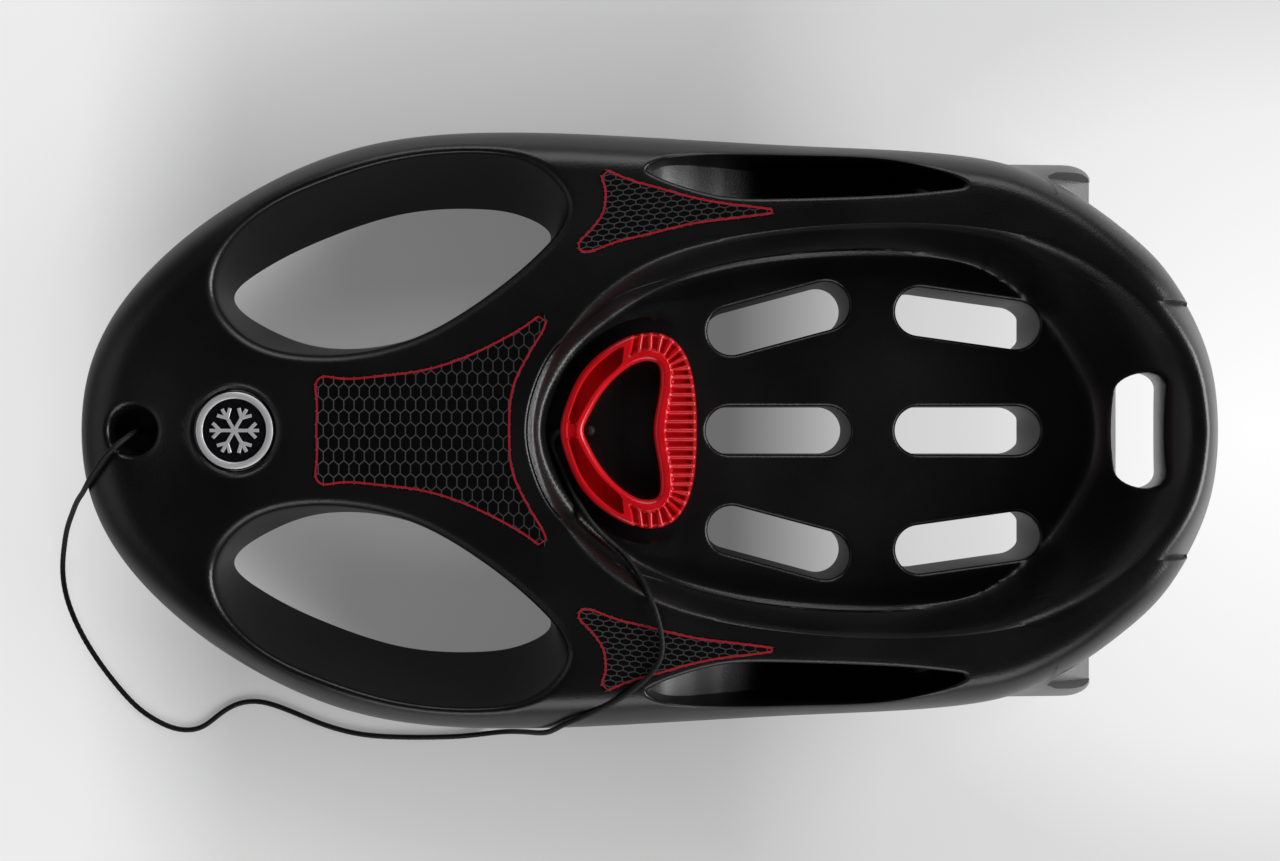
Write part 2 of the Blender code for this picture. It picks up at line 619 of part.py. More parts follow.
def keel(name, side, skin):
    """One keel and its tail: a bar along the hull's side, closed at both ends, the skin's depth smaller."""
    rear_x = KEEL_REAR_X - skin
    corner = TAIL_CORNER - skin
    stations = [KEEL_FRONT_X + skin, KEEL_FRONT_X + KEEL_FADE, TAIL_RISE_X, TAIL_FRONT_X]
    stations += [rear_x - corner * (1 - math.sin(turn)) for turn in np.linspace(0, math.pi / 2, 5)[:-1]]
    stations.append(rear_x - 0.01 * corner)
    half = KEEL_WIDTH / 2 - skin
    rows = []
    for x in stations:
        rise = BELLY_RISE_AT(min(x, 0))
        depth = KEEL_DEPTH * min(1, (x - KEEL_FRONT_X) / KEEL_FADE)
        low = BELLY_HEIGHT + rise - depth + skin
        root = BELLY_HEIGHT + rise + KEEL_ROOT
        high = (root if x <= TAIL_RISE_X else TAIL_TOP) - skin
        past_corner = max(0, (x - rear_x + corner) / corner)
        cut = corner * (1 - math.sqrt(1 - past_corner ** 2))
        inner_y = keel_middle(x) - half
        outer_y = keel_middle(x) + half - cut
        slant = KEEL_SLANT if x <= TAIL_RISE_X else 0
        rows.append([(x, side * inner_y, low), (x, side * outer_y, low), (x, side * outer_y, high),
                     (x, side * (inner_y + slant), high)])
    faces = []
    for row in range(len(rows) - 1):
        for i in range(4):
            along = (i + 1) % 4
            faces.append((4 * row + i, 4 * row + along, 4 * row + 4 + along, 4 * row + 4 + i))
    last = 4 * (len(rows) - 1)
    faces += [(3, 2, 1, 0), (last, last + 1, last + 2, last + 3)]
    return welded_mesh(name, [(np.array([point for row in rows for point in row]), faces)])


# Plain solids

def prism(name, loop, low, high):
    """The loop's area between two heights."""
    count = len(loop)
    lower = np.column_stack([loop, np.full(count, low)])
    upper = np.column_stack([loop, np.full(count, high)])
    wall = band(lower, upper)
    return welded_mesh(name, [wall, (lower, [tuple(range(count))[::-1]]), (upper, [tuple(range(count))])])


def turned(name, outline, segments):
    """A solid of revolution about Z from its outline, as (radius, height) from axis to axis or all round."""
    work = bmesh.new()
    made = [work.verts.new((radius, 0, height)) for radius, height in outline]
    edges = [work.edges.new(pair) for pair in zip(made, made[1:])]
    if outline[0][0] > 0:
        edges.append(work.edges.new((made[-1], made[0])))
    bmesh.ops.spin(work, geom=made + edges, cent=(0, 0, 0), axis=(0, 0, 1), angle=2 * math.pi, steps=segments)
    bmesh.ops.remove_doubles(work, verts=work.verts, dist=1e-6)
    bmesh.ops.recalc_face_normals(work, faces=work.faces)
    mesh = bpy.data.meshes.new(name)
    work.to_mesh(mesh)
    work.free()
    return mesh


# Objects

def material(name, colour, roughness, metallic=0.0):
    """A plain Principled material."""
    made = bpy.data.materials.new(name)
    made.use_nodes = True
    shader = made.node_tree.nodes["Principled BSDF"]
    shader.inputs["Base Color"].default_value = (*colour, 1.0)
    shader.inputs["Roughness"].default_value = roughness
    shader.inputs["Metallic"].default_value = metallic
    return made


def add(name, mesh, surface=None, location=(0, 0, 0)):
    """An object in the scene; one without a surface is a cutter, hidden in renders."""
    made = bpy.data.objects.new(name, mesh)
    made.location = location
    bpy.context.scene.collection.objects.link(made)
    if surface is None:
        made.hide_render = True
        made.display_type = "WIRE"
    else:
        mesh.materials.append(surface)
    return made


def combine(target, other, operation):
    """Add another object's solid to the target, or take it away."""
    step = target.modifiers.new(other.name, "BOOLEAN")
    step.operation = operation
    step.object = other
    step.solver = "EXACT"


def handle_outline(step):
    """The tow handle's outer plan curve."""
    points = whole(HANDLE_OUTER)
    return closed_curve(points, span_counts(points, step))


def screw_places(side):
    """Plan positions of the screws of one runner."""
    places = np.linspace(RUNNER_FRONT_X + SCREW_INSET, RUNNER_REAR_X - SCREW_INSET, SCREWS_A_RUNNER)
    return [(x, side * keel_middle(x)) for x in places]


def screw_outline(clearance):
    """Half the outline of a countersunk screw, or of the hole that it sits in."""
    head = SCREW_HEAD_RADIUS + clearance
    shank = SCREW_RADIUS + clearance
    low = 0.2 * MM if clearance == 0 else -MM
    return [(0, low), (head, low), (head, 0.5 * MM), (shank, 0.5 * MM + SCREW_HEAD_HEIGHT),
            (shank, SCREW_LENGTH + clearance), (0, SCREW_LENGTH + clearance)]


def add_keel(name, side, skin):
    """A keel as a cutter, with the shelf cut into its tail."""
    bar = add(name, keel(name, side, skin))
    outer_y = keel_middle(KEEL_REAR_X) + KEEL_WIDTH / 2 - TAIL_LIP_WIDTH + skin
    inner_y = outer_y - KEEL_WIDTH - 2 * skin
    front_x = TAIL_SHELF_X - skin
    rear_x = KEEL_REAR_X + skin + MM
    corners = np.array([(front_x, inner_y), (rear_x, inner_y), (rear_x, outer_y), (front_x, outer_y)])
    low = TAIL_TOP - TAIL_SHELF_DEPTH - skin
    shelf = prism(f"{name}_shelf", corners * (1, side), low, TAIL_TOP + MM)
    combine(bar, add(f"{name}_shelf", shelf), "DIFFERENCE")
    return bar


def make_hull(surface, stickers):
    """The hollow shell with its keels, and the holes that open it."""
    hull = add("hull", hull_skin("hull", 0, stickers), surface)
    cavity = add("hull_cavity", hull_skin("hull_cavity", WALL, []))
    for side, word in ((1, "right"), (-1, "left")):
        combine(hull, add_keel(f"keel_{word}", side, 0), "UNION")
        combine(cavity, add_keel(f"keel_hollow_{word}", side, WALL), "UNION")
    combine(hull, cavity, "DIFFERENCE")
    for side, word in ((1, "right"), (-1, "left")):
        for number, (x, y) in enumerate(screw_places(side), 1):
            pilot = turned("pilot", screw_outline(GAP), 16)
            combine(hull, add(f"pilot_{word}_{number}", pilot, location=(x, y, 0)), "DIFFERENCE")
    vent_low = BELLY_HEIGHT - MM
    vent = turned("vent", [(0, 0), (VENT_RADIUS, 0), (VENT_RADIUS, 5 * WALL), (0, 5 * WALL)], 16)
    combine(hull, add("vent", vent, location=(VENT_X, 0, vent_low)), "DIFFERENCE")
    return hull


def make_runner(side, word, steel):
    """A steel strip under one keel, with its countersunk screws."""
    length = RUNNER_REAR_X - RUNNER_FRONT_X
    middle_x = (RUNNER_REAR_X + RUNNER_FRONT_X) / 2
    centre = (middle_x, side * keel_middle(middle_x))
    toe = math.degrees(math.atan2(KEEL_REAR_Y - KEEL_FRONT_Y, KEEL_REAR_X - KEEL_FRONT_X))
    loop = round_slot(length, RUNNER_WIDTH, centre, side * toe, RUNNER_WIDTH / 3)
    name = f"runner_{word}"
    strip = add(name, prism(name, loop, 0, RUNNER_THICKNESS), steel)
    for number, (x, y) in enumerate(screw_places(side), 1):
        hole = turned("hole", screw_outline(GAP), 16)
        combine(strip, add(f"hole_{word}_{number}", hole, location=(x, y, 0)), "DIFFERENCE")
        screw = turned("screw", screw_outline(0), 12)
        add(f"runner_screw_{word}_{number}", screw, steel, location=(x, y, 0))


def sticker_points(edges):
    """The outline of a sticker whose edges are bowed, and the points of its face."""
    corners = [np.array(corner) * MM for corner, _middle in edges]
    outline = []
    for i, (_corner, middle) in enumerate(edges):
        start = corners[i]
        end = corners[(i + 1) % len(corners)]
        count = max(2, round(np.linalg.norm(end - start) / STICKER_STEP))
        pull = 2 * np.array(middle) * MM - (start + end) / 2
        for share in np.arange(count) / count:
            outline.append((1 - share) ** 2 * start + 2 * share * (1 - share) * pull + share ** 2 * end)
    outline = clockwise_off(np.array(outline))
    inner = lattice(outline + (0, -outline[:, 1].mean()), STICKER_STEP) + (0, outline[:, 1].mean())
    return outline, inner[inside_distance(inner, outline) > STICKER_STEP / 3]


def sticker_mesh(name, outline, inner, deck):
    """A thin sheet that follows the deck."""
    points, faces = sheet(outline, [], [], [(inner, STICKER_STEP / 4)], deck)
    low = points + (0, 0, STICKER_GAP)
    high = low + (0, 0, STICKER_THICKNESS)
    low_edge = lifted(outline, deck) + (0, 0, STICKER_GAP)
    wall = band(low_edge, low_edge + (0, 0, STICKER_THICKNESS))
    return welded_mesh(name, [(low, faces), (high, faces), wall])


def snowflake():
    """The outline of a plain six-armed star with one pair of branches on each arm."""
    half = FIGURE_STROKE / 2
    branch = FIGURE_REACH * 0.55
    spread = FIGURE_REACH * 0.28
    arm = [
        (half * math.sqrt(3), -half), (branch, -half), (branch + spread, -half - spread),
        (branch + spread + half * 1.4, -half - spread + half * 1.4), (branch + half * 2.8, -half),
        (FIGURE_REACH, -half), (FIGURE_REACH, half), (branch + half * 2.8, half),
        (branch + spread + half * 1.4, half + spread - half * 1.4), (branch + spread, half + spread), (branch, half),
    ]
    outline = []
    for turn in range(6):
        angle = turn * math.pi / 3
        for along, across in arm:
            outline.append((along * math.cos(angle) - across * math.sin(angle),
                            along * math.sin(angle) + across * math.cos(angle)))
    return np.array(outline)


def make_badge(black, silver):
    """The badge in its seat on the nose: a base, a ring on its edge and a raised figure."""
    floor = CROWN_AT(BADGE_X) - BADGE_SEAT_DEPTH + GAP
    base = turned("badge_base", [(0, 0), (BADGE_RADIUS, 0), (BADGE_RADIUS, BADGE_BASE_HEIGHT),
                                 (0, BADGE_BASE_HEIGHT)], 48)
    add("badge_base", base, black, location=(BADGE_X, 0, floor))
    face = floor + BADGE_BASE_HEIGHT + GAP
    inner = BADGE_RADIUS - BADGE_RING_WIDTH
    ring = turned("badge_ring", [(inner, 0), (BADGE_RADIUS, 0), (BADGE_RADIUS, BADGE_RING_HEIGHT * 0.5),
                                 (BADGE_RADIUS - BADGE_RING_WIDTH * 0.3, BADGE_RING_HEIGHT),
                                 (inner + BADGE_RING_WIDTH * 0.3, BADGE_RING_HEIGHT),
                                 (inner, BADGE_RING_HEIGHT * 0.5)], 48)
    add("badge_ring", ring, silver, location=(BADGE_X, 0, face))
    figure = prism("badge_figure", snowflake(), 0, FIGURE_HEIGHT)
    add("badge_figure", figure, silver, location=(BADGE_X, 0, face))


def handle_section(outer, inner):
    """Points round the handle's section between an inner and an outer point of its outlines."""
    width = np.linalg.norm(outer - inner)
    middle_x, middle_y = (outer + inner) / 2
    grooved = middle_x < CHANNEL_END_X and abs(middle_y) > CHANNEL_WEB + CHANNEL_WALL
    top = HANDLE_THICKNESS
    floor = top - (CHANNEL_DEPTH if grooved else 0)
    edge = HANDLE_ROUNDING
    wall = CHANNEL_WALL
    draft = CHANNEL_DRAFT
    section = [
        (edge, 0), (width - edge, 0), (width, edge), (width, top - edge), (width - edge, top), (width - wall, top),
        (width - wall - draft, floor), (wall + draft, floor), (wall, top), (edge, top), (0, top - edge), (0, edge),
    ]
    across = (outer - inner) / width
    return [(*(inner + across * reach), height) for reach, height in section]


def make_handle(red):
    """The tow handle: a closed loop with a hollowed arm on each side of the rope's hole, and a solid grip."""
    points = whole(HANDLE_OUTER)
    counts = span_counts(points, HANDLE_STEP)
    outer = closed_curve(points, counts)
    inner = closed_curve(whole(HANDLE_INNER), counts)
    sections = [handle_section(*pair) for pair in zip(outer, inner)]
    rows = len(sections)
    size = len(sections[0])
    vertices = np.array([point for section in sections for point in section])
    faces = []
    for row in range(rows):
        after = (row + 1) % rows
        for i in range(size):
            along = (i + 1) % size
            faces.append((row * size + i, after * size + i, after * size + along, row * size + along))
    handle = add("tow_handle", welded_mesh("tow_handle", [(vertices, faces)]), red,
                 location=(0, 0, RECESS_HEIGHT + GAP))
    bore = turned("rope_bore", [(0, -30 * MM), (ROPE_HOLE_RADIUS, -30 * MM), (ROPE_HOLE_RADIUS, 30 * MM),
                                (0, 30 * MM)], 16)
    apex = (HANDLE_OUTER[0][0] + HANDLE_INNER[0][0]) / 2 * MM
    cutter = add("rope_bore", bore, location=(apex, 0, RECESS_HEIGHT + GAP + ROPE_HOLE_HEIGHT))
    cutter.rotation_euler = (0, math.pi / 2, 0)
    combine(handle, cutter, "DIFFERENCE")


def make_rope(surface):
    """The tow rope as one tube, with a stop knot at each end."""
    web_underside = CROWN_AT(NOSE_CUP_X) - CUP_DEPTH - WEB
    hole_height = RECESS_HEIGHT + GAP + ROPE_HOLE_HEIGHT
    outer_face = HANDLE_OUTER[0][0]
    inner_face = HANDLE_INNER[0][0]
    start = (NOSE_CUP_X / MM, 0, web_underside / MM)
    up = (NOSE_CUP_X / MM, 0, (web_underside + WEB) / MM + 2)
    into_handle = (outer_face + 3, 0, hole_height / MM)
    end = (inner_face, 0, hole_height / MM)
    path = open_curve([start, up, *ROPE_ROUTE, into_handle, end], ROPE_STEP)
    curve = bpy.data.curves.new("tow_rope", "CURVE")
    curve.dimensions = "3D"
    curve.bevel_depth = ROPE_RADIUS
    curve.bevel_resolution = 3
    curve.use_fill_caps = True
    spline = curve.splines.new("POLY")
    spline.points.add(len(path) - 1)
    for point, place in zip(spline.points, path):
        point.co = (*place, 1)
    add("tow_rope", curve, surface)
    half_turn = np.linspace(-math.pi / 2, math.pi / 2, 9)[1:-1]
    outline = [(KNOT_RADIUS * math.cos(turn), KNOT_RADIUS * math.sin(turn)) for turn in half_turn]
    outline = [(0, -KNOT_RADIUS), *outline, (0, KNOT_RADIUS)]
    nose_knot = (NOSE_CUP_X, 0, web_underside - GAP - KNOT_RADIUS)
    add("rope_nose_knot", turned("rope_nose_knot", outline, 14), surface, location=nose_knot)
    handle_knot = (inner_face * MM + GAP + KNOT_RADIUS, 0, hole_height)
    add("rope_handle_knot", turned("rope_handle_knot", outline, 14), surface, location=handle_knot)


for old in list(bpy.data.objects):
    bpy.data.objects.remove(old, do_unlink=True)

black_plastic = material("black_plastic", (0.012, 0.012, 0.013), 0.38)
red_plastic = material("red_plastic", (0.56, 0.006, 0.012), 0.3)
steel = material("steel", (0.55, 0.55, 0.56), 0.35, 1.0)
silver_plastic = material("silver_plastic", (0.62, 0.62, 0.64), 0.3, 0.8)
sticker_film = material("sticker_film", (0.02, 0.02, 0.022), 0.3)
cord = material("cord", (0.008, 0.008, 0.008), 0.8)

hull_plan = Plan(0)
front = sticker_points(FRONT_STICKER)
right = sticker_points(SIDE_STICKER)
left = (mirrored(right[0]), mirrored(right[1]))
sticker_areas = {"front_sticker": front, "side_sticker_right": right, "side_sticker_left": left}
make_hull(black_plastic, list(sticker_areas.values()))
for sticker_name, (outline, inner) in sticker_areas.items():
    add(sticker_name, sticker_mesh(sticker_name, outline, inner, hull_plan.deck), sticker_film)
for side, word in ((1, "right"), (-1, "left")):
    make_runner(side, word, steel)
make_badge(black_plastic, silver_plastic)
make_handle(red_plastic)
make_rope(cord)
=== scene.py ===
"""Studio view of the snow bob: its moulded skin, tow handle, rope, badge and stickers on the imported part.

Metres, +Z up. The nose points to -X and +Y is the rider's right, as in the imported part.
"""

import math

import bmesh
import bpy
import numpy as np
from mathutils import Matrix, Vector
from mathutils.geometry import delaunay_2d_cdt
from mathutils.kdtree import KDTree


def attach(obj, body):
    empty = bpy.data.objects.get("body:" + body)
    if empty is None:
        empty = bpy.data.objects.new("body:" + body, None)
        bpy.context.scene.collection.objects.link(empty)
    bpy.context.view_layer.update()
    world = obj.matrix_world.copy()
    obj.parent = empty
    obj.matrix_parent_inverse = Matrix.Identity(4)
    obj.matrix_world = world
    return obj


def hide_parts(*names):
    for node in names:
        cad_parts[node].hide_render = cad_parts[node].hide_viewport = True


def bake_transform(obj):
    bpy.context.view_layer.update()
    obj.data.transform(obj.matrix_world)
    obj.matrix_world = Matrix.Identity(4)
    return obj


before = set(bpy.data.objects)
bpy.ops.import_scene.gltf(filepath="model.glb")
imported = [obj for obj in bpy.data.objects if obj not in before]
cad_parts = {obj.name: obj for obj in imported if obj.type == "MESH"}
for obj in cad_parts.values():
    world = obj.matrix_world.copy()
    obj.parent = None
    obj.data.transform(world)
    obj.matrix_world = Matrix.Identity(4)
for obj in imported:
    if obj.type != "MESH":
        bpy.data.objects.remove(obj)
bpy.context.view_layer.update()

MM = 0.001

# Hull: heights, half outline in plan and stations along the hull, as in the part
BELLY_HEIGHT = 12.3 * MM
SEAT_HEIGHT = 100.0 * MM
CROWN_FALL = 8.0 * MM
ROLL_BELOW = 38.0 * MM
OUTLINE = [
    (-508, 0), (-504, 42), (-491, 83), (-438, 156), (-366, 212), (-257, 260.5), (-128, 274.5), (2, 270),
    (150, 261), (275, 252), (330, 241), (370, 223), (405, 199.5), (430, 178), (456, 151), (480, 114),
    (501, 62), (508, 0),
]
CROWN = [(-508, 112), (-455, 119), (-400, 124), (-250, 130), (-98, 137), (50, 148), (200, 163), (350, 186),
         (440, 202), (508, 206)]
PARTING = [(-508, 92), (-400, 80), (-200, 70), (150, 70), (290, 82), (400, 122), (460, 146), (508, 156)]
BELLY_RISE = [(-508, 60), (-455, 42), (-400, 26), (-320, 9), (-240, 0), (-100, 0), (330, 0), (400, 8),
              (450, 34), (508, 76)]
ROLL_ABOVE = [(-508, 38), (-300, 38), (0, 40), (200, 38), (330, 38), (420, 36), (470, 32), (508, 28)]
ROLL_FULLNESS = [(-508, 2), (300, 2), (430, 1.4), (508, 1.3)]
EYE_RIM = [(-380, 126), (-356, 180), (-284, 222), (-213, 243), (-141, 248), (-95, 237), (-64, 197),
           (-87, 160), (-141, 116), (-195, 85), (-248, 70.5), (-302, 69), (-355, 87)]
EYE_FOOT = [(-382, 126), (-361, 149), (-303, 181), (-227, 207), (-151, 212), (-105, 203), (-84, 187),
            (-105, 158), (-141, 128), (-195, 96), (-248, 80.5), (-302, 79.5), (-352, 97)]
EYE_LIP = 9.0 * MM
SEAT_RIM = [(-94, 0), (-84.5, 47), (-59.5, 94), (-9, 140.5), (60, 166), (141, 178), (254, 180), (336, 167),
            (396, 140), (438, 105), (466, 68), (480, 25), (482, 0)]
SEAT_WALL = [(-98, 3.8), (-60, 15), (-10, 25), (60, 21), (200, 17), (300, 24), (370, 50), (440, 85),
             (482, 97)]
SEAT_RISE = [(-98, 30), (-60, 21), (0, 6), (50, 0), (200, 0), (482, 0)]
SLOT_LENGTH = 132.0 * MM
SLOT_WIDTH = 44.0 * MM
SLOT_LIP = 3.5 * MM
SLOT_SIDE = 102.0 * MM
# Each row of slots: its place, its outer slots' tilt in degrees, and where its feet are cut short behind
SLOT_ROWS = [(127.5 * MM, 15.0, None), (299.5 * MM, -8.0, 362.0 * MM)]
HAND_SLOT_LENGTH = 100.0 * MM
HAND_SLOT_WIDTH = 29.0 * MM
HAND_SLOT_X = 440.0 * MM
HAND_SLOT_LIP = 5.0 * MM
HAND_SLOT_SLANT = 23.0 * MM
HAND_SLOT_FLARE = 1.07
POCKET = [(7, 231.5), (14, 237.5), (30, 242.5), (74, 245), (150, 243), (224, 237.5), (254, 230), (280, 219),
          (286, 214), (272, 210), (225, 206.5), (125, 204.5), (74, 207.2), (36, 217.5), (13, 227)]
POCKET_FLOOR = [(5, 119), (22, 112), (45, 96), (80, 72), (120, 60), (250, 60), (272, 72), (287, 100)]
POCKET_WALL = 3.0 * MM
POCKET_LIP = 3.5 * MM
HANDLE_CLEARANCE = 14.5 * MM
RECESS_HEIGHT = SEAT_HEIGHT + 1.0 * MM
RECESS_WALL = 3.0 * MM
RECESS_END_X = 52.0 * MM
NOSE_CUP_X = -455.0 * MM
CUP_RADIUS = 22.0 * MM
CUP_DEPTH = 26.0 * MM
CUP_WALL = 2.0 * MM
CUP_LIP = 6.0 * MM
KNOT_CUP_RADIUS = 15.0 * MM
WEB = 5.0 * MM
ROPE_HOLE_RADIUS = 3.2 * MM

# Moulded detail of the skin
DISH_RADIUS = 75.0 * MM
DISH_DEPTH = 4.0 * MM
BEAD = [(-97.7, 0), (-90, 39.6), (-71.6, 73), (-53, 90), (-19, 118), (27, 136.7), (85, 151.6), (146.5, 160),
        (208, 163), (265, 160.7), (337.5, 149), (380, 134), (425, 104), (452, 60), (461, 0)]
BEAD_DROP = [(-3.7, 0), (-3.2, 0.1), (-1.8, 1.1), (-1.5, 2.0), (-0.8, 2.0), (-0.4, 1.2), (3.2, 3.5),
             (4.2, 3.9), (8, 4.0), (24, 0)]
BEAD_END_X = 400.0 * MM
BEAD_RING_PLACES = (-11.0, -7.5, -5.2, 1.4, 5.5, 8.0, 11.0, 15.0, 20.0, 24.0)
BEAD_FADE = [(-98, 1), (60, 1), (380, 0.25), (430, 0), (482, 0)]
BADGE_X = -360.5 * MM
BADGE_RADIUS = 34.5 * MM
BADGE_SEAT_RADIUS = 37.5 * MM
BADGE_SEAT_DEPTH = 2.0 * MM
BADGE_WALL = 1.0 * MM
BEZEL_RADIUS = 40.2 * MM
BEZEL_WIDTH = 1.7 * MM
BEZEL_HEIGHT = 1.3 * MM
FACET_HALF_WIDTH = 111.0 * MM
FACET_STEP = 1.2 * MM
FACET_DEPTH = [(0, 26), (60, 29), (112, 37)]
FACET_POWER = 1.7
FACET_EDGE_X = (436.0 * MM, 479.0 * MM)
FACET_EDGE_STEP = 1.5 * MM

# Keels under the sides, ending in tails behind the hull
KEEL_DEPTH = 9.0 * MM
KEEL_FRONT_X = -255.0 * MM
KEEL_FRONT_Y = 237.0 * MM
KEEL_REAR_X = 423.0 * MM
KEEL_REAR_Y = 229.5 * MM
KEEL_FADE = 45.0 * MM
KEEL_WIDTH = 36.0 * MM
KEEL_ROOT = 30.0 * MM
KEEL_SLANT = 14.0 * MM
KEEL_EDGE = 3.0 * MM
TAIL_RISE_X = 225.0 * MM
FAIRING_FRONT_X = 292.0 * MM
FAIRING_REAR_X = 362.0 * MM
FAIRING_ROOT = 22.0 * MM
FAIRING_SINK = 0.3 * MM
FAIRING_FOOT = 55.0 * MM
FAIRING_POINTS = 16
TAIL_CORNER_LENGTH = 26.0 * MM
TAIL_CORNER_WIDTH = 14.0 * MM
TAIL_LEAN = 0.32
TAIL_LEAN_HEIGHT = 50.0 * MM
TAIL_SHELF_X = 364.0 * MM
TAIL_SHELF_HEIGHTS = (82.0 * MM, 47.0 * MM)
TAIL_LIP_WIDTH = 15.0 * MM
TAIL_SHELF_TOP = 200.0 * MM
TAIL_SHELF_CORNER = 6.0 * MM
TAIL_CORNER_STATIONS = 8
FAIRING_STATIONS = 14

# Tow handle: half of its outer and inner outlines, point for point
HANDLE_OUTER = [(-70, 0), (-64, 26), (-51, 52), (-28, 74), (-4, 86), (14, 88.5), (30, 83.5), (42, 70),
                (49.5, 48), (53, 0)]
HANDLE_INNER = [(-49, 0), (-45, 12), (-37, 27), (-25, 43), (-10, 56), (6, 62.5), (17, 60), (20, 48),
                (17.5, 25), (14, 0)]
HANDLE_BASE = RECESS_HEIGHT + 0.3 * MM
HANDLE_THICKNESS = 22.0 * MM
ROPE_HOLE_HEIGHT = 5.2 * MM

# Rope
ROPE_RADIUS = 2.5 * MM
ROPE_ROUTE = [
    (-455, 0, 88), (-455, 0, 95), (-456, -1, 102), (-460, -5, 110), (-466, -11, 116.5), (-473, -18, 119.5),
    (-480, -25, 118.4), (-487, -34, 115.8), (-494, -43, 110.8), (-501, -51, 101.5), (-508, -57, 89),
    (-517, -64, 74), (-530, -78, 51), (-542, -94, 29), (-550, -112, 13), (-554, -131, 5),
    (-553.5, -148, 2.8), (-544, -180, 2.7), (-519, -224, 2.7), (-500, -248.5, 2.7), (-480.5, -268.5, 2.7),
    (-461.5, -281, 2.7), (-442, -288, 2.7), (-422.5, -286.5, 2.7), (-403.5, -273.5, 2.7), (-384, -263, 2.7),
    (-365, -261.5, 2.7), (-345.5, -266.5, 2.7), (-307, -282, 2.7), (-268.5, -292.5, 2.7),
    (-230, -295.5, 2.7), (-191.5, -295.5, 2.7), (-170, -294.5, 2.9), (-149, -292, 5), (-130, -288.5, 14),
    (-113, -285, 33), (-100, -281.5, 57), (-89, -277.8, 81), (-79, -273, 98.8), (-66, -264, 115.8),
    (-52, -257, 124.8), (-30, -246, 132), (-7, -231, 141), (3, -223, 143), (12, -214, 144.2),
    (18, -205, 145), (21, -195, 145.6), (21, -184, 146), (19, -172, 147), (15, -158, 148),
    (10.5, -147, 145.2), (5, -135, 134), (-4, -122, 121.5), (-13, -111, 115.4), (-26, -99, 117),
    (-37, -88, 120.3), (-45, -78, 122), (-51, -69, 119.5), (-57, -59.5, 113), (-62, -50, 107.5),
    (-67, -39, 105.3), (-72, -28, 105.2), (-75.8, -19, 105.8), (-77.6, -11, 106.5), (-76.9, -7, 106.5),
    (-74.8, -3.4, 106.5), (-71.3, -0.9, 106.5), (-67, 0, 106.5), (-49, 0, 106.5),
]

# Stickers: half of the front one's outline, and the whole of the right one's
FRONT_STICKER = [(-288.5, 0), (-288.5, 30), (-288.2, 44), (-284.5, 48.3), (-270, 48.6), (-236, 49.5),
                 (-195, 54.5), (-147.6, 69.5), (-120, 83), (-92, 100.5), (-85.5, 103.6), (-80.8, 100.5),
                 (-81.2, 92), (-89, 77.8), (-99.8, 59.4), (-108, 41.8), (-111.7, 25.5), (-112.7, 0)]
SIDE_STICKER = [(-54.9, 162.5), (-51.5, 158), (-46.8, 157), (-25.3, 163.2), (-3.9, 169.1), (15.6, 173.6),
                (46.9, 180.8), (83.1, 185.3), (104, 187.7), (113.5, 188.8), (118.8, 190.2), (120.8, 192.6),
                (118.8, 195.2), (113.5, 196.8), (100, 198.7), (74, 202.3), (46.9, 208), (16.1, 217),
                (-18.9, 228.9), (-29.9, 231.5), (-32.9, 228.9), (-30.9, 215.3), (-30.6, 204.2),
                (-31.9, 195.8), (-37.7, 185.3), (-46.2, 175.5), (-53.3, 167.8)]
STICKER_BORDER = 1.9 * MM
STICKER_MARGIN = 0.7 * MM
STICKER_STEP = 2.0 * MM
STICKER_HEIGHT = 0.35 * MM
STICKER_FOOT = 0.5 * MM

# Their print: a cell's width and the step between rows, and its lines' greys at the front and at the rear,
# whose fade to the rear is painted sheen
FRONT_CELLS = (9.2 * MM, 11.45 * MM)
FRONT_LINES_AND_SHEEN = (0.075, 0.016)
SIDE_CELLS = (10.4 * MM, 4.8 * MM)
SIDE_LINES_AND_SHEEN = (0.085, 0.045)
SIDE_TURN = 5
LINE_RANGE = 2.0 * MM
# Where the painted sheen on the print's lines starts, and over what length it fades to the rear
PAINTED_SHEEN_START_X = -290.0 * MM
PAINTED_SHEEN_LENGTH = 420.0 * MM

# How finely the surfaces are sampled: steps of curves and grids, least distances between points (spacings),
# and the number or the places of the rings of points
CURVE_STEP = 5.0 * MM
DETAIL_STEP = 3.0 * MM
DECK_GRID = 6.0 * MM
DECK_SPACING = 3.2 * MM
BELLY_GRID = 14.0 * MM
BELLY_SPACING = 8.0 * MM
STICKER_GRID = 4.0 * MM
ROLL_SPACING = 0.35 * CURVE_STEP
LIP_SPACING_SHARE = 0.06
LIP_RINGS = 7
POCKET_RINGS = 4
DECK_ROLL_RINGS = 12
BELLY_ROLL_RINGS = 9
CUP_SPACING = 0.2 * MM
CUP_RING_SHARES = (0.05, 0.15, 0.3, 0.5, 0.75, 1.0)
BEZEL_SPACING = 0.5 * MM
BEZEL_STEP = 2.0 * MM
BEZEL_RING_PLACES = (-3.2, -1.6, 0, 1.6, 3.2)
BEAD_SPACING = 1.1 * MM
SEAT_SPACING = 0.8 * MM
SEAT_RING_SHARES = (0, 0.12, 0.25, 0.38, 0.5, 0.62, 0.75, 0.88, 1)
SEAT_RING_ROUNDS = 10
FACET_SPACING = 1.2 * MM
FACET_RING_SHARES = (0.1, 0.2, 0.32, 0.45, 0.58, 0.7, 0.8, 0.9, 1.08, 1.2)
EYE_WALL_ROWS = 6


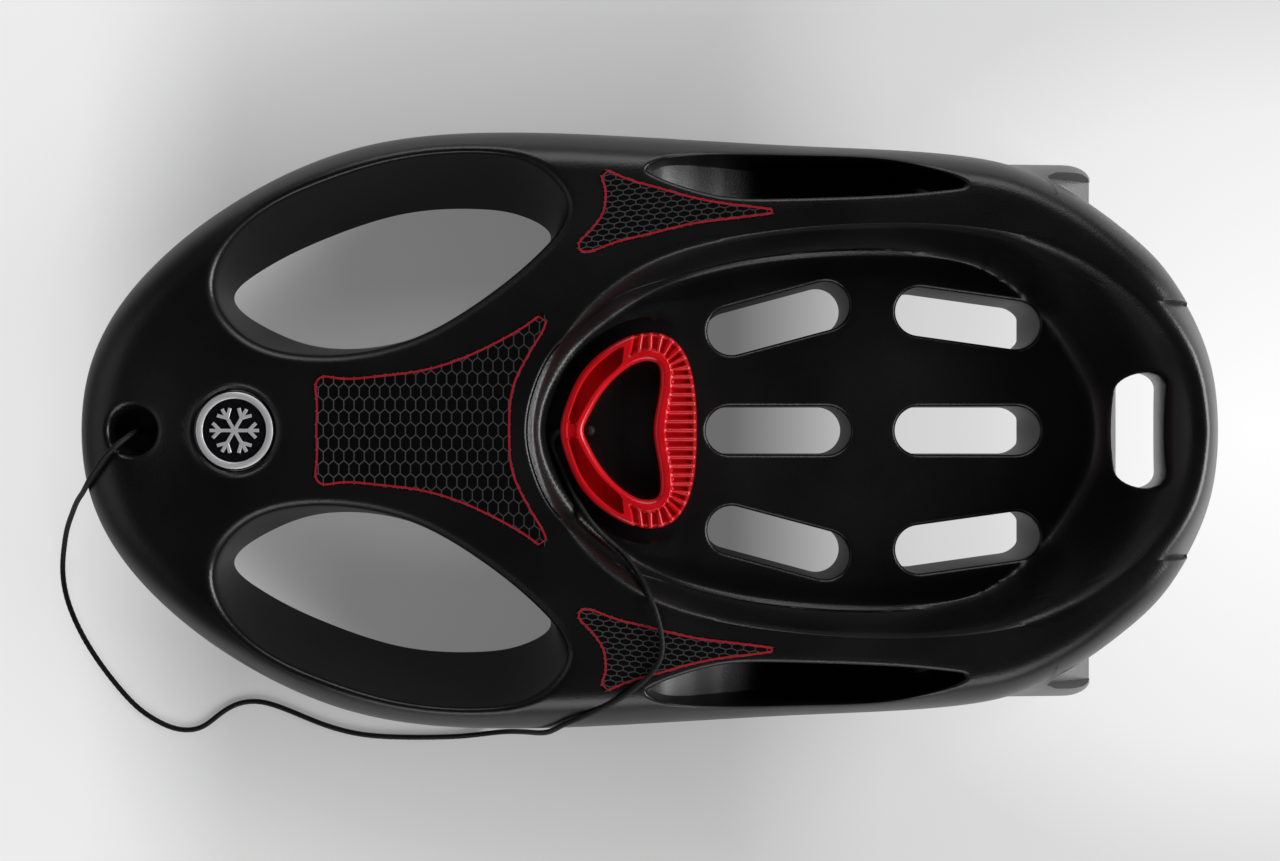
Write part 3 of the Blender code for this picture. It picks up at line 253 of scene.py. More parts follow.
def profile(stations, unit=MM):
    """A smooth function of x through stations, level where they peak, dip or stay level.

    Their places are in millimetres and their values in the unit.
    """
    places, values = np.array(stations, float).T * [[MM], [unit]]
    rises = np.diff(values) / np.diff(places)
    before = np.concatenate([rises[:1], rises])
    after = np.concatenate([rises, rises[-1:]])
    total = before + after
    slopes = np.where(before * after > 0, 2 * before * after / np.where(total == 0, 1, total), 0)

    def value(x):
        x = np.clip(x, places[0], places[-1])
        low = np.clip(np.searchsorted(places, x) - 1, 0, len(places) - 2)
        span = places[low + 1] - places[low]
        t = (x - places[low]) / span
        start = (1 + 2 * t) * (1 - t) ** 2 * values[low] + t * (1 - t) ** 2 * span * slopes[low]
        end = t * t * (3 - 2 * t) * values[low + 1] - t * t * (1 - t) * span * slopes[low + 1]
        return start + end

    return value


CROWN_AT = profile(CROWN)
PARTING_AT = profile(PARTING)
BELLY_RISE_AT = profile(BELLY_RISE)
ROLL_AT = profile(ROLL_ABOVE)
SEAT_WALL_AT = profile(SEAT_WALL)
SEAT_RISE_AT = profile(SEAT_RISE)
BEAD_FADE_AT = profile(BEAD_FADE, 1)
ROLL_FULLNESS_AT = profile(ROLL_FULLNESS, 1)
FACET_DEPTH_AT = profile(FACET_DEPTH)
POCKET_FLOOR_AT = profile(POCKET_FLOOR)
BEAD_PLACES, BEAD_FALLS = np.array(BEAD_DROP).T * MM


# Plan curves

def whole(half):
    """The closed outline whose +Y half, from axis to axis, is given in millimetres."""
    other = [(x, -y) for x, y in half[-2:0:-1]]
    return [*half, *other]


def span_counts(points, step):
    """How many points each span of a closed curve gets, for about one step between them."""
    knots = np.array(points, float) * MM
    lengths = np.linalg.norm(np.roll(knots, -1, 0) - knots, axis=1)
    return np.maximum(1, np.round(lengths / step)).astype(int)


def cubic_span(start, end, start_bend, end_bend, length, count):
    """Points along one span of a cubic spline, from its start up to but without its end."""
    t = (np.arange(count) / count)[:, None]
    line = (1 - t) * start + t * end
    return line + length ** 2 / 6 * (((1 - t) ** 3 - (1 - t)) * start_bend + (t ** 3 - t) * end_bend)


def closed_curve(points, counts):
    """Points on the smooth closed curve through points in millimetres: a periodic cubic spline."""
    knots = np.array(points, float) * MM
    total = len(knots)
    following = np.roll(knots, -1, 0)
    lengths = np.linalg.norm(following - knots, axis=1)
    slopes = (following - knots) / lengths[:, None]
    matrix = np.zeros((total, total))
    for i in range(total):
        matrix[i, i - 1] += lengths[i - 1]
        matrix[i, i] += 2 * (lengths[i - 1] + lengths[i])
        matrix[i, (i + 1) % total] += lengths[i]
    bends = np.linalg.solve(matrix, 6 * (slopes - np.roll(slopes, 1, 0)))
    spans = []
    for i, count in enumerate(counts):
        after = (i + 1) % total
        spans.append(cubic_span(knots[i], knots[after], bends[i], bends[after], lengths[i], count))
    return clockwise_off(np.concatenate(spans))


def even_curve(points, step):
    """Points about a step apart on the smooth closed curve through points in millimetres."""
    return closed_curve(points, span_counts(points, step))


def open_curve(points, step):
    """Points on the smooth open curve through points in millimetres: a natural cubic spline."""
    knots = np.array(points, float) * MM
    total = len(knots)
    lengths = np.linalg.norm(np.diff(knots, axis=0), axis=1)
    slopes = np.diff(knots, axis=0) / lengths[:, None]
    matrix = np.eye(total)
    bend_sources = np.zeros_like(knots)
    for i in range(1, total - 1):
        matrix[i, i - 1:i + 2] = (lengths[i - 1], 2 * (lengths[i - 1] + lengths[i]), lengths[i])
        bend_sources[i] = 6 * (slopes[i] - slopes[i - 1])
    bends = np.linalg.solve(matrix, bend_sources)
    spans = []
    for i, length in enumerate(lengths):
        count = max(1, round(length / step))
        spans.append(cubic_span(knots[i], knots[i + 1], bends[i], bends[i + 1], length, count))
    return np.concatenate([*spans, knots[-1:]])


def clockwise_off(loop):
    """The loop, turned round where it runs clockwise."""
    x, y = loop.T
    area = np.sum(x * np.roll(y, -1) - y * np.roll(x, -1))
    return loop if area > 0 else loop[::-1]


def grown(loop, distance):
    """The loop moved outwards by a distance, or by one distance a point."""
    along = np.roll(loop, -1, 0) - np.roll(loop, 1, 0)
    along /= np.linalg.norm(along, axis=1)[:, None]
    outward = np.stack([along[:, 1], -along[:, 0]], axis=1)
    return loop + outward * np.reshape(distance, (-1, 1))


def mirrored(loop):
    """The loop on the other side of the hull, still running anticlockwise."""
    return (loop * (1, -1))[::-1]


def inset(loop, distance):
    """The loop moved inwards by a distance, without the points that fold over."""
    moved = grown(loop, -distance)
    return moved[np.abs(inside_distance(moved, loop) - distance) < 0.01 * distance]


def moved_in(loop, distance):
    """The loop moved inwards by a distance, or outwards by a negative one."""
    return inset(loop, distance) if distance > 0 else grown(loop, -distance)


def round_slot(length, width, centre, angle, step):
    """A slot with round ends, its long axis turned from +X by the angle in degrees."""
    radius = width / 2
    reach = length / 2 - radius
    arc_points = max(12, round(math.pi * radius / step))
    side_points = max(1, round(2 * reach / step))
    points = []
    for end in (1, -1):
        for i in range(arc_points):
            turn = -math.pi / 2 + math.pi * i / arc_points
            points.append((end * (reach + radius * math.cos(turn)), end * radius * math.sin(turn)))
        for i in range(side_points):
            points.append((end * (reach - 2 * reach * i / side_points), end * radius))
    spin = math.radians(angle)
    along = (math.cos(spin), math.sin(spin))
    return np.array(points) @ np.array([along, (-along[1], along[0])]) + np.array(centre)


def circle(radius, centre_x, step):
    """Points on a circle about the hull's centre line."""
    count = max(24, round(2 * math.pi * radius / step))
    turns = 2 * math.pi * np.arange(count) / count
    return np.stack([centre_x + radius * np.cos(turns), radius * np.sin(turns)], axis=1)


def inside_distance(points, loop):
    """Distance of each point from the loop, positive inside it and negative outside."""
    start = loop
    end = np.roll(loop, -1, 0)
    run = end - start
    result = np.empty(len(points))
    for first in range(0, len(points), 2000):
        block = points[first:first + 2000]
        to_start = block[:, None] - start[None]
        share = np.clip(np.sum(to_start * run, axis=2) / np.sum(run * run, axis=1), 0, 1)
        gap = to_start - share[:, :, None] * run
        nearest = np.sqrt(np.min(np.sum(gap * gap, axis=2), axis=1))
        above_start = block[:, None, 1] >= start[None, :, 1]
        above_end = block[:, None, 1] >= end[None, :, 1]
        side = run[:, 0] * to_start[:, :, 1] - run[:, 1] * to_start[:, :, 0]
        crossings = np.sum(above_start & ~above_end & (side < 0), axis=1)
        crossings += np.sum(~above_start & above_end & (side > 0), axis=1)
        result[first:first + 2000] = np.where(crossings % 2 == 1, nearest, -nearest)
    return result


# Heights of the skin

def ease(share):
    """A smooth step from 0 to 1."""
    share = np.clip(share, 0, 1)
    return share * share * (3 - 2 * share)


def bump(distance, width):
    """A round ridge of height 1."""
    return np.exp(-(distance / width) ** 2)


def round_over(distance, radius):
    """How far a quarter round has fallen at a distance inside the edge that it ends at."""
    across = 1 - np.clip(distance / radius, 0, 1)
    return radius * (1 - np.sqrt(1 - across * across))


def sink(height, floor, inside, wall, lip):
    """Lower the height to the floor of a pocket with a steep wall and a rounded lip."""
    depth = np.maximum(height - floor, 0)
    lip = np.minimum(lip, depth / 2)
    fallen = np.where(inside < 0, round_over(-inside, np.maximum(lip, 1e-9)), 0)
    wall_share = np.clip(inside / wall, 0, 1)
    fallen = np.where(inside >= 0, lip + (depth - lip) * wall_share, fallen)
    return height - fallen


outline = even_curve(whole(OUTLINE), CURVE_STEP)
half_width = np.max(outline[:, 1])
eye_counts = span_counts(EYE_RIM, DETAIL_STEP)
eye_rim = closed_curve(EYE_RIM, eye_counts)
eye_foot = closed_curve(EYE_FOOT, eye_counts)
seat_rim = even_curve(whole(SEAT_RIM), CURVE_STEP)
bead = even_curve(whole(BEAD), DETAIL_STEP)
pocket = even_curve(POCKET, DETAIL_STEP)
recess = grown(even_curve(whole(HANDLE_OUTER), DETAIL_STEP), HANDLE_CLEARANCE)
recess[:, 0] = np.minimum(recess[:, 0], RECESS_END_X)
hand_slot = round_slot(HAND_SLOT_LENGTH, HAND_SLOT_WIDTH, (HAND_SLOT_X, 0), 90, DETAIL_STEP)
hand_slot_foot = hand_slot * (1, HAND_SLOT_FLARE) + (HAND_SLOT_SLANT, 0)
slots = []
slot_feet = []
for row_x, tilt, foot_x in SLOT_ROWS:
    for side in (-1, 0, 1):
        slot = round_slot(SLOT_LENGTH, SLOT_WIDTH, (row_x, side * SLOT_SIDE), side * tilt, DETAIL_STEP)
        foot = slot.copy()
        if foot_x is not None:
            foot[:, 0] = np.minimum(foot[:, 0], foot_x)
        slots.append(slot)
        slot_feet.append(foot)
nose_hole = circle(ROPE_HOLE_RADIUS, NOSE_CUP_X, MM)
# Each through hole as its rim on the deck, its edge on the belly and its lip's radius
HOLES = [
    (nose_hole, nose_hole, 0),
    (eye_rim, eye_foot, EYE_LIP),
    (mirrored(eye_rim), mirrored(eye_foot), EYE_LIP),
    (hand_slot, hand_slot_foot, HAND_SLOT_LIP),
    *[(slot, foot, SLOT_LIP) for slot, foot in zip(slots, slot_feet)],
]


def deck(points):
    """Height of the upper surface over each point of the plan."""
    x, y = points.T
    right = np.stack([x, np.abs(y)], axis=1)
    height = CROWN_AT(x) - CROWN_FALL * (y / half_width) ** 2
    from_edge = inside_distance(points, outline)
    across = 1 - np.clip(from_edge / ROLL_AT(x), 0, 1)
    rolled = 1 - (1 - across * across) ** (1 / ROLL_FULLNESS_AT(x))
    facet = (1 - np.clip(from_edge / FACET_DEPTH_AT(np.abs(y)), 0, 1)) ** FACET_POWER
    on_facet = (x > BEAD_END_X) * ease((FACET_HALF_WIDTH - np.abs(y)) / FACET_STEP)
    height -= (height - PARTING_AT(x)) * (rolled + (facet - rolled) * on_facet)
    seat_floor = SEAT_HEIGHT + SEAT_RISE_AT(x)
    height += (seat_floor - height) * ease(inside_distance(points, seat_rim) / SEAT_WALL_AT(x))
    in_bead = inside_distance(points, bead)
    fade = BEAD_FADE_AT(x)
    height -= fade * np.interp(in_bead, BEAD_PLACES, BEAD_FALLS)
    height = sink(height, RECESS_HEIGHT, inside_distance(points, recess), RECESS_WALL, 0)
    height = sink(height, POCKET_FLOOR_AT(x), inside_distance(right, pocket), POCKET_WALL, POCKET_LIP)
    from_badge = np.hypot(x - BADGE_X, y)
    height = sink(height, CROWN_AT(BADGE_X) - BADGE_SEAT_DEPTH, BADGE_SEAT_RADIUS - from_badge, BADGE_WALL, 0)
    height += BEZEL_HEIGHT * bump(from_badge - BEZEL_RADIUS, BEZEL_WIDTH)
    from_cup = np.hypot(x - NOSE_CUP_X, y)
    height -= DISH_DEPTH * (1 - ease(from_cup / DISH_RADIUS)) * (from_cup > CUP_RADIUS)
    height = sink(height, CROWN_AT(NOSE_CUP_X) - CUP_DEPTH, CUP_RADIUS - from_cup, CUP_WALL, CUP_LIP)
    for rim, _foot, lip in HOLES:
        if lip > 0:
            height -= round_over(-inside_distance(points, rim), lip)
    return height


def belly(points):
    """Height of the underside over each point of the plan."""
    x, y = points.T
    height = BELLY_HEIGHT + BELLY_RISE_AT(x)
    across = 1 - np.clip(inside_distance(points, outline) / ROLL_BELOW, 0, 1)
    height += (PARTING_AT(x) - height) * (1 - np.sqrt(1 - across * across))
    ceiling = CROWN_AT(NOSE_CUP_X) - CUP_DEPTH - WEB
    from_cup = np.hypot(x - NOSE_CUP_X, y)
    return -sink(-height, -ceiling, KNOT_CUP_RADIUS - from_cup, CUP_WALL, 0)


# Surfaces

def lifted(loop, height):
    """The plan loop as points in space at the height that a function gives."""
    return np.column_stack([loop, height(loop)])


def lattice(outline, step):
    """Points in staggered rows over the outline's box."""
    low = outline.min(axis=0)
    high = outline.max(axis=0)
    row_step = step * math.sqrt(3) / 2
    rows = math.ceil((high[1] - low[1]) / row_step)
    columns = math.ceil((high[0] - low[0]) / step)
    row, column = np.meshgrid(np.arange(rows + 1), np.arange(columns + 1), indexing="ij")
    x = low[0] + step * (column + 0.5 * (row % 2))
    return np.stack([x.ravel(), (low[1] + row * row_step).ravel()], axis=1)


def sheet(outline, holes, creases, seams, rings, height):
    """Vertices and triangles of a surface over the outline, with holes.

    Edges follow the creases, which are loops, and the seams, which are open. Each ring of points is given
    with the least distance that its points keep from all others.
    """
    loops = [outline, *holes, *creases]
    placed = np.concatenate([*loops, *seams])
    for ring, distance in rings:
        room = inside_distance(ring, outline)
        for hole in holes:
            room = np.minimum(room, -inside_distance(ring, hole))
        ring = ring[room > distance / 2]
        tree = KDTree(len(placed))
        for index, (x, y) in enumerate(placed):
            tree.insert((x, y, 0), index)
        tree.balance()
        free = [tree.find((x, y, 0))[2] > distance for x, y in ring]
        placed = np.concatenate([placed, ring[free]])
    edges = []
    start = 0
    for loop in loops:
        edges += [(start + i, start + (i + 1) % len(loop)) for i in range(len(loop))]
        start += len(loop)
    for seam in seams:
        edges += [(start + i, start + i + 1) for i in range(len(seam) - 1)]
        start += len(seam)
    result = delaunay_2d_cdt([Vector(point) for point in placed.tolist()], edges, [], 0, 1e-7)
    points = np.array([placed[sources[0]] for sources in result[3]])
    faces = np.array(result[2])
    middles = points[faces].mean(axis=1)
    kept = inside_distance(middles, outline) > 0
    for hole in holes:
        kept &= inside_distance(middles, hole) < 0
    return lifted(points, height), faces[kept]


def loft(rows):
    """Vertices and faces of a wall through closed rows of as many points."""
    size = len(rows[0])
    faces = []
    for start in range(0, size * (len(rows) - 1), size):
        for i in range(size):
            after = (i + 1) % size
            faces.append((start + i, start + after, start + size + after, start + size + i))
    return np.concatenate(rows), faces


def turned(rows, segments, place):
    """A surface of revolution about a vertical axis through a place, from (radius, height) pairs."""
    turns = 2 * math.pi * np.arange(segments) / segments
    circles = []
    for radius, height in rows:
        heights = np.full(segments, height)
        circles.append(np.column_stack([radius * np.cos(turns), radius * np.sin(turns), heights]) + place)
    return loft(circles)


def add(name, surfaces, *materials):
    """An object in the scene, welded from surfaces whose edges lie on each other, with its materials."""
    work = bmesh.new()
    for vertices, faces in surfaces:
        made = [work.verts.new(point) for point in vertices.tolist()]
        for face in faces:
            work.faces.new([made[index] for index in face])
    bmesh.ops.remove_doubles(work, verts=work.verts, dist=1e-6)
    loose = [vertex for vertex in work.verts if not vertex.link_faces]
    bmesh.ops.delete(work, geom=loose, context="VERTS")
    bmesh.ops.recalc_face_normals(work, faces=work.faces)
    mesh = bpy.data.meshes.new(name)
    work.to_mesh(mesh)
    work.free()
    for material in materials:
        mesh.materials.append(material)
    piece = bpy.data.objects.new(name, mesh)
    bpy.context.scene.collection.objects.link(piece)
    return piece


def smooth(piece, degrees):
    """Shade the piece smooth, with an edge left wherever its faces meet at more than the angle."""
    piece.data.shade_smooth()
    piece.data.set_sharp_from_angle(angle=math.radians(degrees))


def stand_for(piece, degrees, body, node):
    """The smooth piece rides on a body and stands for a node of the part, which it hides."""
    smooth(piece, degrees)
    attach(piece, body)
    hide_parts(node)


# Materials

ROW_SHARE = math.sqrt(3) / 2
MIDDLE_SPAN = (0.3, 0.7)


def new_material(name, roughness, metallic=0.0):
    """A Principled material and its parts: the material, its node tree and the shader."""
    made = bpy.data.materials.new(name)
    made.use_nodes = True
    tree = made.node_tree
    shader = tree.nodes["Principled BSDF"]
    shader.inputs["Roughness"].default_value = roughness
    shader.inputs["Metallic"].default_value = metallic
    return made, tree, shader


def place_of(tree, scale=(1, 1, 1)):
    """Object coordinates in metres, times the scale."""
    coordinates = tree.nodes.new("ShaderNodeTexCoord")
    mapping = tree.nodes.new("ShaderNodeMapping")
    mapping.inputs["Scale"].default_value = scale
    tree.links.new(coordinates.outputs["Object"], mapping.inputs["Vector"])
    return mapping.outputs["Vector"]


def noise(tree, vector, scale, detail=3.0):
    """A noise texture's value at the vector."""
    texture = tree.nodes.new("ShaderNodeTexNoise")
    texture.inputs["Scale"].default_value = scale
    texture.inputs["Detail"].default_value = detail
    tree.links.new(vector, texture.inputs["Vector"])
    return texture.outputs["Fac"]


def ramp(tree, value, stops):
    """Colours, or greys, spread over a value from 0 to 1."""
    made = tree.nodes.new("ShaderNodeValToRGB")
    points = made.color_ramp.elements
    while len(points) < len(stops):
        points.new(0.5)
    for point, (position, colour) in zip(points, stops):
        point.position = position
        point.color = (*colour, 1.0) if len(colour) == 3 else (colour[0], colour[0], colour[0], 1.0)
    tree.links.new(value, made.inputs["Fac"])
    return made.outputs["Color"]


def spread(tree, shader, socket, value, ends, span=MIDDLE_SPAN):
    """Blend from one colour or grey to another across a span of a value, on a socket of the shader."""
    tree.links.new(ramp(tree, value, list(zip(span, ends))), shader.inputs[socket])


def calculator(tree):
    """A function that adds a sum on values or numbers to the tree and gives its result."""
    def calc(operation, first, second=None):
        made = tree.nodes.new("ShaderNodeMath")
        made.operation = operation
        for socket, value in zip(made.inputs, (first, second)):
            if value is None:
                continue
            if isinstance(value, (int, float)):
                socket.default_value = value
            else:
                tree.links.new(value, socket)
        return made.outputs["Value"]

    return calc


def axes(tree, vector):
    """The X, Y and Z of a vector."""
    split = tree.nodes.new("ShaderNodeSeparateXYZ")
    tree.links.new(vector, split.inputs["Vector"])
    return [split.outputs[axis] for axis in "XYZ"]


def mixed(tree, share, first):
    """A node that mixes colours by a share, with the first one linked."""
    mix = tree.nodes.new("ShaderNodeMix")
    mix.data_type = "RGBA"
    tree.links.new(share, mix.inputs["Factor"])
    tree.links.new(first, mix.inputs["A"])
    return mix


def add_bump(tree, shader, value, strength, distance):
    """Raise the surface by a value."""
    made = tree.nodes.new("ShaderNodeBump")
    made.inputs["Strength"].default_value = strength
    made.inputs["Distance"].default_value = distance
    tree.links.new(value, made.inputs["Height"])
    tree.links.new(made.outputs["Normal"], shader.inputs["Normal"])


def speckled(name, roughness, colours, scale, grain=None, metallic=0.0, detail=3.0, span=MIDDLE_SPAN):
    """A material that wavers between two colours, with a grain given as its scale, strength and depth."""
    made, tree, shader = new_material(name, roughness, metallic)
    where = place_of(tree)
    spread(tree, shader, "Base Color", noise(tree, where, scale, detail), colours, span)
    if grain is not None:
        fineness, strength, depth = grain
        add_bump(tree, shader, noise(tree, where, fineness, 2), strength, depth)
    return made


def black_plastic():
    """Blow-moulded polyethylene: black, half gloss, with a fine pebbled grain."""
    made, tree, shader = new_material("moulded_black", 0.4)
    calc = calculator(tree)
    where = place_of(tree)
    cells = tree.nodes.new("ShaderNodeTexVoronoi")
    cells.inputs["Scale"].default_value = 700
    tree.links.new(where, cells.inputs["Vector"])
    grain = calc("MULTIPLY", cells.outputs["Distance"], 0.7)
    grain = calc("ADD", grain, noise(tree, where, 380, 5))
    add_bump(tree, shader, grain, 0.32, 0.35 * MM)
    patches = noise(tree, where, 9, 4)
    spread(tree, shader, "Base Color", patches, [(0.0025, 0.0025, 0.003), (0.0045, 0.0045, 0.005)])
    spread(tree, shader, "Roughness", patches, [(0.30,), (0.38,)], (0.25, 0.75))
    return made


def drawn_steel():
    """Steel strip, brushed along its length."""
    made, tree, shader = new_material("drawn_steel", 0.34, 1.0)
    streaks = noise(tree, place_of(tree, (1, 60, 60)), 40, 4)
    spread(tree, shader, "Base Color", streaks, [(0.42, 0.42, 0.43), (0.62, 0.62, 0.63)])
    spread(tree, shader, "Roughness", streaks, [(0.28,), (0.46,)], (0.2, 0.8))
    return made


def braided_cord():
    """Black polypropylene braid with little gloss."""
    made = speckled("braided_cord", 0.55, [(0.005, 0.005, 0.005), (0.02, 0.02, 0.022)], 900,
                    (2600, 0.4, 0.12 * MM), span=(0.35, 0.7))
    made.node_tree.nodes["Principled BSDF"].inputs["Specular IOR Level"].default_value = 0.2
    return made


def sticker_print(name, cells, turn, line_greys_and_sheen):
    """Black film with a honeycomb print, turned by an angle in degrees, its lines lighter towards the front
    as painted sheen.
    """
    made, tree, shader = new_material(name, 0.27)
    calc = calculator(tree)
    width, row_step = cells
    where = place_of(tree, (1, 1, 0))
    where.node.inputs["Rotation"].default_value = (0, 0, math.radians(turn))
    x, y, _z = axes(tree, where)
    column = calc("MULTIPLY", x, 1 / width)
    row = calc("MULTIPLY", y, ROW_SHARE / row_step)
    slant_reach = 1 / math.hypot(0.5 / width, ROW_SHARE ** 2 / row_step)
    line_distances = []
    centre_distances = []
    period = 2 * ROW_SHARE
    for shift in (0.0, 0.5):
        across = calc("FLOORED_MODULO", calc("ADD", column, shift), 1.0)
        across = calc("ABSOLUTE", calc("SUBTRACT", across, 0.5))
        along = calc("FLOORED_MODULO", calc("ADD", row, shift * period), period)
        along = calc("ABSOLUTE", calc("SUBTRACT", along, ROW_SHARE))
        slanted = calc("ADD", calc("MULTIPLY", across, 0.5), calc("MULTIPLY", along, ROW_SHARE))
        from_side = calc("MULTIPLY", calc("SUBTRACT", 0.5, across), width)
        from_slant = calc("MULTIPLY", calc("SUBTRACT", 0.5, slanted), slant_reach)
        line_distances.append(calc("MINIMUM", from_side, from_slant))
        centre_distances.append(calc("ADD", calc("MULTIPLY", across, across), calc("MULTIPLY", along, along)))
    nearer = calc("LESS_THAN", centre_distances[0], centre_distances[1])
    further = calc("SUBTRACT", 1.0, nearer)
    distance = calc("ADD", calc("MULTIPLY", line_distances[0], nearer),
                    calc("MULTIPLY", line_distances[1], further))
    on_line = ramp(tree, calc("MULTIPLY", distance, 1 / LINE_RANGE), [(0.2, (1.0,)), (0.3, (0.0,))])
    # Painted sheen: the printed lines' grey fades from the front to the rear
    place = calc("MULTIPLY", calc("ADD", x, -PAINTED_SHEEN_START_X), 1 / PAINTED_SHEEN_LENGTH)
    line_colour_and_sheen = ramp(tree, place, [(end, (grey, grey, grey * 1.03)) for end, grey in enumerate(line_greys_and_sheen)])
    film_stops = [(0.3, (0.0022, 0.0022, 0.0025)), (0.7, (0.0032, 0.0032, 0.0035))]
    mix = mixed(tree, on_line, ramp(tree, noise(tree, where, 90), film_stops))
    tree.links.new(line_colour_and_sheen, mix.inputs["B"])
    tree.links.new(mix.outputs["Result"], shader.inputs["Base Color"])
    return made


# Hull

def edge_rings(loop, reach, count, spacing):
    """Rings over a loop's rounded edge, closer together where it is steep.

    They lie outside the loop, or inside it where the reach is negative. A ring's share sets its spacing.
    """
    rings = []
    for i in range(1, count + 1):
        share = 1 - math.cos(math.pi / 2 * i / count)
        rings.append((grown(loop, share * reach), spacing(share)))
    return rings


def lip_rings(loop, lip, count):
    """Rings outside a loop across its rounded lip."""
    return edge_rings(loop, lip, count, lambda _share: lip * LIP_SPACING_SHARE)


def rolled_rings(widths, count):
    """Rings inside the hull's outline across its rolled edge."""
    return edge_rings(outline, -widths, count, lambda share: ROLL_SPACING * min(1, 0.3 + share))


def seat_ring(share):
    """The ring that lies a share of the way down the seat's wall, without its folded points."""
    line = seat_rim
    for _round in range(SEAT_RING_ROUNDS):
        width = share * SEAT_WALL_AT(line[:, 0])
        line = grown(seat_rim, -width)
    return line[np.abs(inside_distance(line, seat_rim) - width) < 0.03 * width + 1e-6]


def facet_ring(share):
    """The ring a share of the way over the rear rim's field, and which of its points are on the field."""
    ring = grown(outline, -share * FACET_DEPTH_AT(np.abs(outline[:, 1])))
    on_facet = (outline[:, 0] > BEAD_END_X) & (np.abs(ring[:, 1]) < FACET_HALF_WIDTH - 2 * FACET_STEP)
    return ring, on_facet


def round_wall(centre_x, radius, width):
    """The top and the foot of a round cup's wall."""
    return [circle(radius, centre_x, DETAIL_STEP), circle(radius - width, centre_x, DETAIL_STEP)]


def deck_sheet():
    """The hull's upper surface."""
    creases = []
    for side in (pocket, mirrored(pocket)):
        creases += [grown(side, POCKET_LIP), side, inset(side, POCKET_WALL)]
    creases += [recess, inset(recess, RECESS_WALL)]
    creases += round_wall(BADGE_X, BADGE_SEAT_RADIUS, BADGE_WALL)
    creases += round_wall(NOSE_CUP_X, CUP_RADIUS, CUP_WALL)
    rings = []
    for rim, _foot, lip in HOLES:
        if lip > 0:
            rings += lip_rings(rim, lip, LIP_RINGS)
    for side in (pocket, mirrored(pocket)):
        rings += lip_rings(side, POCKET_LIP, POCKET_RINGS)
    for share in CUP_RING_SHARES:
        rings.append((circle(CUP_RADIUS + CUP_LIP * share, NOSE_CUP_X, DETAIL_STEP), CUP_SPACING))
    for place in BEZEL_RING_PLACES:
        rings.append((circle(BEZEL_RADIUS + place * MM, BADGE_X, BEZEL_STEP), BEZEL_SPACING))
    rings += [(moved_in(bead, place * MM), BEAD_SPACING) for place in BEAD_RING_PLACES]
    rings += [(seat_ring(share), SEAT_SPACING) for share in SEAT_RING_SHARES]
    facet_top, on_facet = facet_ring(1)
    first = np.flatnonzero(on_facet & ~np.roll(on_facet, 1))[0]
    seams = [np.roll(facet_top, -first, 0)[:np.count_nonzero(on_facet)]]
    for place in (FACET_HALF_WIDTH, FACET_HALF_WIDTH - FACET_STEP):
        for side in (1, -1):
            seams.append(np.array([(x, side * place) for x in np.arange(*FACET_EDGE_X, FACET_EDGE_STEP)]))
    for place in BEAD_PLACES[:-1]:
        line = moved_in(bead, place)
        ahead = line[:, 0] > BEAD_END_X
        first = np.flatnonzero(ahead & ~np.roll(ahead, -1))[0] + 1
        line = np.roll(line, -first, 0)
        seams.append(line[line[:, 0] <= BEAD_END_X])
    for share in FACET_RING_SHARES:
        ring, near_facet = facet_ring(share)
        rings.append((ring[near_facet], FACET_SPACING))
    rings += rolled_rings(ROLL_AT(outline[:, 0]), DECK_ROLL_RINGS)
    rings.append((lattice(outline, DECK_GRID), DECK_SPACING))
    return sheet(outline, [rim for rim, _foot, _lip in HOLES], creases, seams, rings, deck)


def belly_sheet():
    """The hull's underside."""
    creases = round_wall(NOSE_CUP_X, KNOT_CUP_RADIUS, CUP_WALL)
    rings = rolled_rings(ROLL_BELOW, BELLY_ROLL_RINGS)
    rings.append((lattice(outline, BELLY_GRID), BELLY_SPACING))
    return sheet(outline, [foot for _rim, foot, _lip in HOLES], creases, [], rings, belly)


def wall(rim, foot, rows):
    """The wall between a hole's foot and its rim."""
    low = lifted(foot, belly)
    high = lifted(rim, deck)
    return loft([low + (high - low) * share for share in np.linspace(0, 1, rows + 1)])


def keel_middle(x):
    """How far the middle of a keel lies from the hull's centre line."""
    share = (x - KEEL_FRONT_X) / (KEEL_REAR_X - KEEL_FRONT_X)
    return KEEL_FRONT_Y + (KEEL_REAR_Y - KEEL_FRONT_Y) * share


